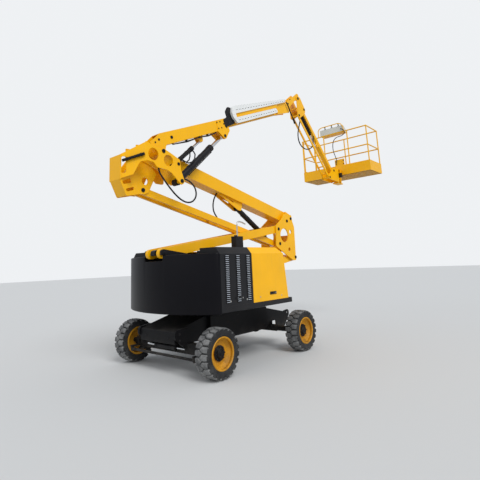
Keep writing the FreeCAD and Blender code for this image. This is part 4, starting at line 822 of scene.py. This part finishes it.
# Turret
@dataclass
class Turret:
    """Louvres, latches, bolts and trims on the turret's covers."""

    half_width: float = 0.980
    louvre_top: float = 1.530
    louvre_low: float = 0.925
    louvre_count: int = 25
    louvre_width: float = 0.085
    louvre_lean: float = -35.0
    columns: tuple[float, ...] = (-0.855, -0.632, -0.413)
    post_y: float = -0.470
    cast_edge: float = 0.026

    def louvres(self, side: int, name: str) -> None:
        """Three columns of pressed louvres: dark lips, near-black sheets of painted shade in the slots and
        pale strips of painted highlight along the edges.
        """
        skins, slots, edges = Stock(), Stock(), Stock()
        y = side * self.half_width
        step = (self.louvre_top - self.louvre_low) / (self.louvre_count - 1)
        lean = Matrix.Rotation(side * math.radians(self.louvre_lean), 4, "X")
        for x in self.columns:
            for number in range(self.louvre_count):
                z = self.louvre_low + number * step
                skins.add(block((self.louvre_width, 0.012, 0.009), 0.0028, 1),
                          Matrix.Translation((x, y + side * 0.004, z)) @ lean)
                # a near-black sheet of painted shade in the slot below each louvre
                slots.add(block((self.louvre_width * 0.92, 0.0016, 0.009)),
                          Matrix.Translation((x, y + side * 0.0005, z - 0.009)))
                # a pale strip of painted highlight along each louvre's edge
                edges.add(block((self.louvre_width * 0.72, 0.003, 0.010)),
                          Matrix.Translation((x, y + side * 0.0095, z + 0.001)) @ lean)
        skins.publish("louvres_" + name, "turret", Look.BLACK)
        slots.publish("louvre_slot_shade_" + name, "turret", Look.SHADE)
        edges.publish("louvre_painted_highlights_" + name, "turret", Look.JOINT_AND_HIGHLIGHT)

    def post(self) -> None:
        """The bent grey pipe over the post's box, and the box's lid and glands."""
        stock, trim = Stock(), Stock()
        bends = ((-0.012, 1.850), (-0.012, 2.035), (0.002, 2.078), (0.040, 2.095), (0.120, 2.086),
                 (0.198, 2.062))
        stock.pipe([(x, self.post_y, z) for x, z in bends], 0.011, 16)
        stock.publish("post_pipe", "turret", Look.ZINC)
        trim.add(block((0.180, 0.108, 0.010), 0.003), Matrix.Translation((-0.019, self.post_y, 1.847)))
        for x in (-0.070, -0.030):
            trim.add(drum(0.012, 0.022, 16, 0.003), facing((0, 0, 1), (x, self.post_y, 1.852)))
            for z in (1.800, 1.700):
                trim.bolt((x, self.post_y - 0.050, z), (0, -1, 0), 0.005, 0.004)
        trim.publish("post_trim", "turret", Look.KNOB)

    def latch(self, x: float, z: float, side: int, name: str, body: str) -> None:
        """A recessed pull latch low on a cover."""
        stock, steel = Stock(), Stock()
        y = side * self.half_width
        stock.add(block((0.160, 0.010, 0.042), 0.004), Matrix.Translation((x, y + side * 0.003, z)))
        stock.add(block((0.052, 0.016, 0.026), 0.005),
                  Matrix.Translation((x - 0.008, y + side * 0.007, z + 0.004)))
        stock.publish("latch_" + name, body, Look.KNOB)
        steel.add(drum(0.008, 0.006, 16, 0.0015), facing((0, side, 0), (x + 0.058, y + side * 0.007, z)))
        steel.publish("latch_lock_" + name, body, Look.ZINC)

    def build(self) -> None:
        """Builds the turret's fittings."""
        for name, side in SIDES.items():
            self.louvres(side, name)
            self.latch(-0.620, 0.965, side, "vent_" + name, "turret")
            self.latch(0.160, 0.975, side, "hood_" + name, "hood_" + name)
            bolts = Stock()
            for x in (-0.806, -0.460):
                bolts.bolt((x, side * self.half_width, 0.935), (0, side, 0), 0.009, 0.006)
            bolts.publish("vent_bolts_" + name, "turret", Look.ZINC)
            hood_bolts = Stock()
            for x, z in ((-0.156, 0.938), (0.380, 0.923)):
                hood_bolts.bolt((x, side * self.half_width, z), (0, side, 0), 0.007, 0.005)
            hood_bolts.publish("hood_bolts_" + name, "hood_" + name, Look.ZINC)
        self.post()
        softened("counterweight", "turret", Look.CAST, self.cast_edge)


# Pins
@dataclass(frozen=True)
class PinHead:
    """A pin's end: its place, the side that it faces and its radius."""

    x: float
    z: float
    y: float
    side: int
    radius: float = 0.030


def ends(x: float, z: float, near: float, far: float, radius: float = 0.030) -> list[PinHead]:
    """Both ends of a pin that runs between two faces across the machine."""
    return [PinHead(x, z, near, -1, radius), PinHead(x, z, far, 1, radius)]


HEAD_HEIGHT = 0.010
KNUCKLE_FACE = 0.182
BOOM_NEAR, BOOM_FAR = -0.338, -0.142
PIN_HEADS = {
    "turret": ends(-1.275, 1.605, -0.190, 0.190) + ends(-0.735, 1.057, -0.190, 0.190),
    "lower_knuckle": [head for x, z in ((1.5816, 2.0626), (2.1216, 1.5146), (2.0346, 2.2906),
                                        (1.5996, 1.7786), (1.891, 2.235))
                      for head in ends(x, z, -KNUCKLE_FACE, KNUCKLE_FACE)],
    "upper_knuckle": [PinHead(-1.1481, 2.9961, 0.134, 1), PinHead(-1.5831, 2.4841, 0.116, 1),
                      PinHead(-1.5831, 2.4841, -0.116, -1), PinHead(-1.4171, 3.0251, -0.372, -1),
                      PinHead(-1.0801, 2.6361, -0.372, -1), PinHead(-1.1411, 2.8821, -0.372, -1, 0.024)],
    "fly_boom": ends(2.4331, 4.9815, BOOM_NEAR, BOOM_FAR),
    "jib_bracket": (ends(2.6631, 4.7855, BOOM_NEAR, BOOM_FAR, 0.026)
                    + ends(2.4331, 4.5905, BOOM_NEAR, BOOM_FAR, 0.024)),
    "platform_bracket": (ends(3.863, 3.556, BOOM_NEAR, BOOM_FAR, 0.026)
                         + ends(3.633, 3.361, BOOM_NEAR, BOOM_FAR, 0.024))}


def build_pin_heads() -> None:
    """Builds the heads and keeper bolts of the pins, one piece for each body."""
    for body, heads in PIN_HEADS.items():
        stock = Stock()
        for head in heads:
            at = Vector((head.x, head.y, head.z))
            stock.add(drum(head.radius, HEAD_HEIGHT, 28, 0.002), facing((0, head.side, 0), at))
            top = at + Vector((0, head.side * HEAD_HEIGHT, 0))
            stock.bolt(top, (0, head.side, 0), head.radius * 0.42, 0.007)
        stock.publish("pin_heads_" + body, body, Look.BLACK)


# Cylinders
@dataclass(frozen=True)
class Ram:
    """A cylinder's barrel, and where its oil pipe starts and which way round it lies."""

    name: str
    line: Slant
    y: float
    radius: float
    length: float
    start: float
    turn: float
    pipe_radius: float = 0.006
    port_radius: float = 0.012
    gap: float = 0.011
    gland: float = 0.040
    sunk: float = 0.8

    def at(self, along: float, out: float) -> Vector:
        """A point beside the barrel, turned about its line."""
        turn = math.radians(self.turn)
        return self.line.point(along, out * math.cos(turn), self.y - out * math.sin(turn))

    def build(self) -> None:
        """Adds the oil pipe, its ports and the bands that hold it."""
        stock = Stock()
        lay = self.line.point(1.0, 0.0, self.y) - self.line.point(0.0, 0.0, self.y)
        root, out = self.radius * self.sunk, self.radius + self.gap
        first, last = self.start, self.length - self.gland
        stock.pipe((self.at(first, root), self.at(first, out), self.at(last, out), self.at(last, root)),
                   self.pipe_radius)
        for along in (first, last):
            stock.bar(self.at(along, root), self.at(along, out + 0.007), self.port_radius, 6)
        for share in (0.36, 0.70):
            at = self.line.point(self.length * share, 0.0, self.y)
            stock.add(drum(self.radius + 0.003, 0.018, 32), facing(lay, at))
        stock.publish("oil_pipe_" + self.name, self.name + "_barrel", Look.BLACK)


LEVEL_LINE = Slant(-1.1411, 2.8821, 41.13)
RAMS = (Ram("riser", Slant(0.5697, 2.4053, -31.32), 0.0, 0.045, 0.900, 0.150, 180.0),
        Ram("lift", Slant(-1.0801, 2.6361, 42.10), -0.240, 0.054, 1.010, 0.300, 180.0),
        Ram("level", LEVEL_LINE, -0.240, 0.034, 0.520, 0.120, 90.0),
        Ram("jib", Slant(2.6210, 4.7077, -46.85), -0.240, 0.030, 0.560, 0.110, 90.0))


# Boom
@dataclass
class BoomFittings:
    """The carrier's links and web, wear pads, pins, bolts, clipped pipes and short hoses of the boom."""

    frame: Slant = Slant(-1.4171, 3.0251, 22.7)
    middle: float = -0.240
    head_height: float = 0.008
    boom_half: float = 0.098
    fly_half: float = 0.080
    links: int = 20
    link: float = 0.089
    first_link: float = 1.880
    carrier_face: float = -0.3956
    carrier_y: float = -0.3735
    run_rise: float = 0.420
    run_start: float = 1.826
    run_slope: float = 0.037
    upper_end: float = 3.62
    lower_end: float = 3.18
    joint_width: float = 0.0025
    inlay: float = 0.0014
    web_y: float = -0.372
    pipe_radius: float = 0.008
    hose_radius: float = 0.010

    def pins(self) -> None:
        """Pin ends on the main boom's and the fly boom's near and far sides."""
        stock, fly = Stock(), Stock()
        tall = self.head_height
        for along, across, radius, half in (
                (1.464, -0.030, 0.027, 0.098), (0.270, 0.163, 0.024, 0.090), (1.520, 0.170, 0.012, 0.098),
                (1.570, 0.100, 0.012, 0.098), (0.020, 0.175, 0.016, 0.090), (-0.060, 0.150, 0.012, 0.090)):
            for side in (-1, 1):
                at = self.frame.point(along, across, self.middle + side * half)
                stock.add(drum(radius, tall, 24, 0.002), facing((0, side, 0), at))
        stock.publish("boom_pin_ends", "main_boom", Look.BLACK)
        for along, across, radius in ((3.55, 0.20, 0.022), (3.70, 0.28, 0.018), (3.86, 0.26, 0.016),
                                      (3.98, 0.34, 0.014)):
            for side in (-1, 1):
                at = self.frame.point(along, across, self.middle + side * self.fly_half)
                fly.add(drum(radius, tall, 24, 0.002), facing((0, side, 0), at))
        fly.publish("fly_pin_ends", "fly_boom", Look.BLACK)

    def pads(self) -> None:
        """Wear pads and their bolts round the main boom's mouth."""
        pads, bolts = Stock(), Stock()
        for across in (0.2445, 0.0895):
            pads.add(block((0.06, 0.10, 0.012), 0.002), self.frame.matrix(1.615, across, self.middle))
        pads.publish("wear_pads", "main_boom", Look.KNOB)
        for along in (1.36, 1.44):
            for across in (0.115, 0.220):
                for side in (-1, 1):
                    at = self.frame.point(along, across, self.middle + side * self.boom_half)
                    bolts.bolt(at, (0, side, 0), 0.009, 0.007)
        bolts.publish("boom_bolts", "main_boom", Look.BLACK)

    def carrier(self) -> None:
        """The joints, the near-black sheets of painted shade in the windows and the bands of the carrier's
        links, and the web between its two runs.
        """
        joints, window_shade, bands, web = Stock(), Stock(), Stock(), Stock()
        for number in range(self.links):
            along = self.first_link + number * self.link
            between = along + self.link / 2
            top = self.run_rise - (along - self.run_start) * self.run_slope
            for low, high, last in ((0.294, top, self.upper_end), (0.124, 0.220, self.lower_end)):
                if along > last:
                    continue
                middle = (low + high) / 2
                joints.add(block((self.joint_width, self.inlay, high - low)),
                           self.frame.matrix(along, middle, self.carrier_face))
                # a near-black sheet of painted shade in each link's window
                window_shade.add(block((self.link * 0.40, self.inlay, 0.009)),
                            self.frame.matrix(between, middle - 0.006, self.carrier_face))
                bands.add(block((0.010, 0.050, 0.006), 0.001),
                          self.frame.matrix(between, high + 0.002, self.carrier_y))
        for across in (0.21, 0.28, 0.35):
            joints.add(block((0.060, self.inlay, self.joint_width)),
                       self.frame.matrix(1.805, across, self.carrier_face))
        web.add(block((1.400, 0.003, 0.076)), self.frame.matrix(2.595, 0.2565, self.web_y))
        for stock, name, look in ((joints, "joints", Look.JOINT_AND_HIGHLIGHT), (web, "web", Look.YELLOW),
                                  (window_shade, "window_shade", Look.SHADE), (bands, "bands", Look.ZINC)):
            stock.publish("carrier_" + name, "fly_boom", look)

    def hoses(self) -> None:
        """The clipped oil pipes under the main boom and the sleeve that hangs under the fly boom's head."""
        pipes, sleeve = Stock(), Stock()
        for y, sag in ((-0.306, 0.0), (-0.322, 0.012)):
            rows = ((0.255, 0.080), (0.275, 0.058), (0.560, 0.050 - sag), (0.860, 0.058),
                    (1.060, 0.052 - sag), (1.270, 0.058), (1.290, 0.080))
            pipes.pipe([self.frame.point(along, across, y) for along, across in rows], self.pipe_radius)
        for along in (0.56, 0.86, 1.06):
            pipes.add(block((0.020, 0.040, 0.034), 0.003), self.frame.matrix(along, 0.060, -0.314))
        pipes.publish("boom_pipes", "main_boom", Look.HOSE)
        sleeve.pipe(((1.905, -0.362, 4.735), (1.985, -0.360, 4.655), (2.045, -0.356, 4.555),
                     (2.110, -0.352, 4.480), (2.165, -0.350, 4.420)), 0.013, 16)
        sleeve.pipe(((2.155, -0.350, 4.432), (2.208, -0.350, 4.335)), 0.019, 20)
        sleeve.publish("head_sleeve", "fly_boom", Look.HOSE)

    def knuckle_tube(self) -> None:
        """The dark tube across the upper knuckle's slanted skin, on its two brackets."""
        stock = Stock()
        start, end = Vector((-1.947, -0.167, 2.842)), Vector((-1.753, -0.370, 2.924))
        run = (end - start).normalized()
        stock.bar(start, end, 0.020, 28)
        for at, way in ((start, -run), (end, run)):
            stock.add(drum(0.020, 0.012, 28, 0.008), facing(way, at))
        for share in (0.16, 0.84):
            stock.add(drum(0.024, 0.022, 28), facing(run, start.lerp(end, share)))
        stock.publish("knuckle_tube", "upper_knuckle", Look.BLACK)

    def cylinder_hoses(self) -> None:
        """The two short hoses that hang from the levelling cylinder's head, one on each side of it."""
        stock = Stock()
        for side, shift, rows in (
                (-1, 0.000, ((0.470, -0.018, 0.020), (0.470, -0.034, 0.052), (0.446, -0.084, 0.076),
                             (0.388, -0.128, 0.079), (0.306, -0.140, 0.079), (0.236, -0.116, 0.077),
                             (0.200, -0.068, 0.066), (0.190, -0.030, 0.048), (0.190, -0.018, 0.020))),
                (1, 0.030, ((0.470, -0.018, 0.020), (0.472, -0.036, 0.052), (0.446, -0.100, 0.077),
                            (0.392, -0.134, 0.079), (0.326, -0.132, 0.079), (0.278, -0.100, 0.076),
                            (0.256, -0.056, 0.064), (0.252, -0.026, 0.046), (0.252, -0.018, 0.020)))):
            places = [LEVEL_LINE.point(along + shift, across, self.middle + side * out)
                      for along, across, out in rows]
            stock.pipe(places, self.hose_radius, 16)
            for place in (places[0], places[-1]):
                stock.bar(place, place + Vector((0, side * 0.024, 0)), 0.014, 6)
        stock.publish("cylinder_hoses", "level_barrel", Look.HOSE)

    def build(self) -> None:
        """Builds the boom's fittings."""
        self.pins()
        self.pads()
        self.carrier()
        self.hoses()
        self.knuckle_tube()
        self.cylinder_hoses()


# Platform
LEVER_LEAN = (-0.12, 0, 1)
SWITCH_LEAN = (0.65, 0, 1)


@dataclass
class Platform:
    """The platform's slatted floor, console fittings and bolts."""

    rear: float = 4.290
    depth: float = 0.700
    floor: float = 3.506
    plate: float = 0.008
    centre: float = -0.170
    width: float = 1.800
    slats: int = 11
    slat_height: float = 0.007
    # thickness of the painted shade sheets between the slats
    shade_sheet_height: float = 0.0008
    hoop_x: float = 4.285

    def console(self) -> None:
        """The levers, switches and guard hoop of the control console."""
        knobs, trim, hoop = Stock(), Stock(), Stock()
        low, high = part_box("control_box")
        start, width = low[1], high[1] - low[1]
        for share in (0.20, 0.50, 0.80):
            at = Vector((low[0] + 0.056, start + width * share, high[2] - 0.004))
            knobs.add(drum(0.026, 0.014, 24, 0.004), facing(LEVER_LEAN, at))
            knobs.add(drum(0.008, 0.055, 14), facing(LEVER_LEAN, at))
            knobs.add(drum(0.018, 0.036, 20, 0.010, 0.014),
                      facing(LEVER_LEAN, at + Vector((-0.006, 0, 0.045))))
        for share in (0.30, 0.36, 0.42, 0.62, 0.68):
            at = Vector((low[0] + 0.125, start + width * share, high[2] - 0.045))
            trim.add(drum(0.009, 0.012, 16, 0.003), facing(SWITCH_LEAN, at))
        knobs.publish("console_levers", "platform", Look.KNOB)
        trim.publish("console_switches", "platform", Look.KNOB)
        hoop.pipe([(self.hoop_x, y, z) for y, z in (
            (0.205, 4.630), (0.208, 4.782), (0.168, 4.838), (0.110, 4.857), (-0.340, 4.857),
            (-0.430, 4.826), (-0.484, 4.740), (-0.492, 4.630))], 0.011, 16)
        hoop.publish("console_hoop", "platform", Look.RAIL)

    def grating(self) -> None:
        """The slats over and under the floor plate, with near-black sheets of painted shade in the gaps
        between them.
        """
        slats, gap_shade = Stock(), Stock()
        step = (self.depth - 0.060) / self.slats
        for number in range(self.slats):
            x = self.rear + 0.030 + (number + 0.5) * step
            for z in (self.floor - 0.004, self.floor + self.plate + 0.004):
                slats.add(block((step * 0.62, self.width - 0.040, self.slat_height), 0.0015, 1),
                          Matrix.Translation((x, self.centre, z)))
        # near-black sheets of painted shade, seen between the slats
        for z in (self.floor - 0.0004, self.floor + self.plate + 0.0004):
            gap_shade.add(block((self.depth - 0.050, self.width - 0.030, self.shade_sheet_height)),
                     Matrix.Translation((self.rear + self.depth / 2, self.centre, z)))
        slats.publish("floor_slats", "platform", Look.GRATE)
        gap_shade.publish("floor_gap_shade", "platform", Look.SHADE)

    def build(self) -> None:
        """Builds the platform's fittings."""
        self.console()
        self.grating()
        stock = Stock()
        for y in (-0.310, -0.170):
            for z in (3.300, 3.625):
                stock.bolt((4.205, y, z), (0, -1 if y < -0.24 else 1, 0), 0.012, 0.009)
        for y, z in ((-0.405, 3.870), (-0.405, 3.790), (-0.205, 3.870)):
            stock.bolt((self.rear, y, z), (-1, 0, 0), 0.010, 0.008)
        stock.add(block((0.060, 0.090, 0.110), 0.006), Matrix.Translation((4.130, -0.365, 3.470)))
        stock.publish("platform_bolts", "platform", Look.KNOB)


# Hoses
@dataclass(frozen=True)
class HoseRun:
    """A free hose: its name, body, route, outside diameter and the node that it stands for."""

    name: str
    body: str
    route: Sequence[Point]
    diameter: float = 0.024
    node: str = ""


def lengthwise(y: float, *places: tuple[float, float]) -> list[Point]:
    """A route in a plane along the machine, from places in X and Z."""
    return [(x, y, z) for x, z in places]


def crosswise(x: float, *places: tuple[float, float]) -> list[Point]:
    """A route in a plane across the machine, from places in Y and Z."""
    return [(x, y, z) for y, z in places]


HOSES = (
    HoseRun("knuckle_hose_run", "upper_knuckle", lengthwise(
        -0.325, (-1.470, 2.806), (-1.470, 2.730), (-1.400, 2.650), (-1.300, 2.545), (-1.170, 2.430),
        (-1.035, 2.352), (-0.915, 2.334), (-0.812, 2.372), (-0.752, 2.462), (-0.768, 2.570), (-0.850, 2.648),
        (-0.950, 2.686), (-1.050, 2.686)), node="knuckle_hose"),
    HoseRun("console_cable_run", "platform", [
        (4.296, -0.420, 4.690), (4.276, -0.420, 4.690),
        *crosswise(4.240, (-0.436, 4.684), (-0.492, 4.654), (-0.538, 4.594), (-0.520, 4.524), (-0.440, 4.492),
                   (-0.345, 4.492), (-0.255, 4.462), (-0.203, 4.380), (-0.184, 4.265), (-0.192, 4.125),
                   (-0.235, 3.990), (-0.262, 3.880), (-0.230, 3.810)),
        (4.270, -0.215, 3.795), (4.290, -0.215, 3.795)], 0.018, node="console_cable"),
    HoseRun("riser_hose", "upper_beam", [
        *lengthwise(-0.020, (0.034, 2.640), (0.000, 2.600), (-0.062, 2.502), (-0.085, 2.380),
                    (-0.055, 2.264)),
        (0.031, -0.045, 2.158)]),
    HoseRun("jib_hose", "jib_arm", [
        *lengthwise(-0.270, (2.602, 4.694), (2.590, 4.610), (2.568, 4.500), (2.500, 4.350), (2.440, 4.210),
                    (2.432, 4.050), (2.512, 3.930), (2.670, 3.880)),
        (2.844, -0.272, 3.900), (3.014, -0.276, 3.990), (3.075, -0.278, 4.120), (3.120, -0.278, 4.300)]))


def build_hoses() -> None:
    for run in HOSES:
        piece = cord_line(run.name, run.route, run.diameter)
        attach(piece, run.body)
        if run.node:
            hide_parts(run.node)
        measured(piece)
        LOG.info("%s on %s", run.name, run.body)


# Studio
@dataclass(frozen=True)
class Studio:
    """The floor, the light and the photograph's view."""

    focal: float = 391.4
    frame_size: float = 480.0
    middle: tuple[float, float] = (221.88, 191.39)
    place: tuple[float, float, float] = (-4.8102, -4.5419, 1.4157)
    yaw: float = 42.310
    pitch: float = 10.620
    roll: float = 2.239
    sensor: float = 36.0
    reach: float = 200.0
    floor_half: float = 60.0
    floor_colour: tuple[float, float, float, float] = (0.60, 0.605, 0.60, 1.0)
    soft_colour: tuple[float, float, float, float] = (0.90, 0.94, 1.0, 1.0)
    soft_strength: float = 0.62
    seen_colour: tuple[float, float, float, float] = (0.86, 0.88, 0.90, 1.0)

    def camera(self) -> None:
        """Sets the camera at the photograph's viewing angle."""
        yaw, pitch, roll = (math.radians(a) for a in (self.yaw, self.pitch, self.roll))
        forward = Vector((math.cos(yaw) * math.cos(pitch), math.sin(yaw) * math.cos(pitch), math.sin(pitch)))
        level = Vector((math.sin(yaw), -math.cos(yaw), 0.0))
        down = forward.cross(level)
        right = math.cos(roll) * level + math.sin(roll) * down
        below = -math.sin(roll) * level + math.cos(roll) * down
        data = bpy.data.cameras.new("photo_view")
        data.sensor_width = self.sensor
        data.lens = self.focal / self.frame_size * self.sensor
        half = self.frame_size / 2
        data.shift_x = (half - self.middle[0]) / self.frame_size
        data.shift_y = (self.middle[1] - half) / self.frame_size
        data.clip_end = self.reach
        camera = shown("photo_view", data)
        turn = Matrix((right, -below, -forward)).transposed().to_4x4()
        camera.matrix_world = Matrix.Translation(self.place) @ turn
        bpy.context.scene.camera = camera

    def lamp(self, name: str, at: Point, spread: float, power: float) -> None:
        """Adds a far lamp as wide as a bright patch of cloud, so that the floor is lit evenly."""
        data = bpy.data.lights.new(name, "SUN")
        data.angle = math.radians(spread)
        data.energy = power
        lamp = shown(name, data)
        lamp.matrix_world = facing(at, at)

    def floor(self) -> None:
        """Lays the pale floor."""
        part = bmesh.new()
        bmesh.ops.create_grid(part, x_segments=1, y_segments=1, size=self.floor_half)
        data = bpy.data.meshes.new("floor")
        part.to_mesh(data)
        part.free()
        ground = shown("floor", data)
        material = bpy.data.materials.new("pale_floor")
        material.use_nodes = True
        shader = material.node_tree.nodes["Principled BSDF"]
        shader.inputs["Base Color"].default_value = self.floor_colour
        shader.inputs["Roughness"].default_value = 0.9
        data.materials.append(material)

    def sky(self) -> None:
        """A pale surround: bright to the camera, softer to the object."""
        world = bpy.data.worlds.new("surround")
        bpy.context.scene.world = world
        world.use_nodes = True
        tree = world.node_tree
        soft = tree.nodes["Background"]
        soft.inputs["Color"].default_value = self.soft_colour
        soft.inputs["Strength"].default_value = self.soft_strength
        seen = tree.nodes.new("ShaderNodeBackground")
        seen.inputs["Color"].default_value = self.seen_colour
        seen.inputs["Strength"].default_value = 1.0
        path = tree.nodes.new("ShaderNodeLightPath")
        mix = tree.nodes.new("ShaderNodeMixShader")
        tree.links.new(path.outputs["Is Camera Ray"], mix.inputs["Fac"])
        tree.links.new(soft.outputs[0], mix.inputs[1])
        tree.links.new(seen.outputs[0], mix.inputs[2])
        tree.links.new(mix.outputs[0], tree.nodes["World Output"].inputs["Surface"])

    def build(self) -> None:
        """Sets up view, floor and light."""
        bpy.context.scene.view_settings.view_transform = "Standard"
        self.camera()
        self.floor()
        self.sky()
        self.lamp("key", (-3.0, -8.0, 8.0), 30.0, 1.85)
        self.lamp("fill", (-9.0, 2.0, 6.0), 60.0, 0.35)


def main() -> None:
    """Builds every sub-assembly in order."""
    logging.basicConfig(level=logging.INFO, format="%(message)s")
    Studio().build()
    build_hoses()
    dress_nodes()
    Wheels().build()
    Chassis().build()
    Turret().build()
    build_pin_heads()
    for ram in RAMS:
        ram.build()
    BoomFittings().build()
    Platform().build()


if __name__ == "__main__":
    main()
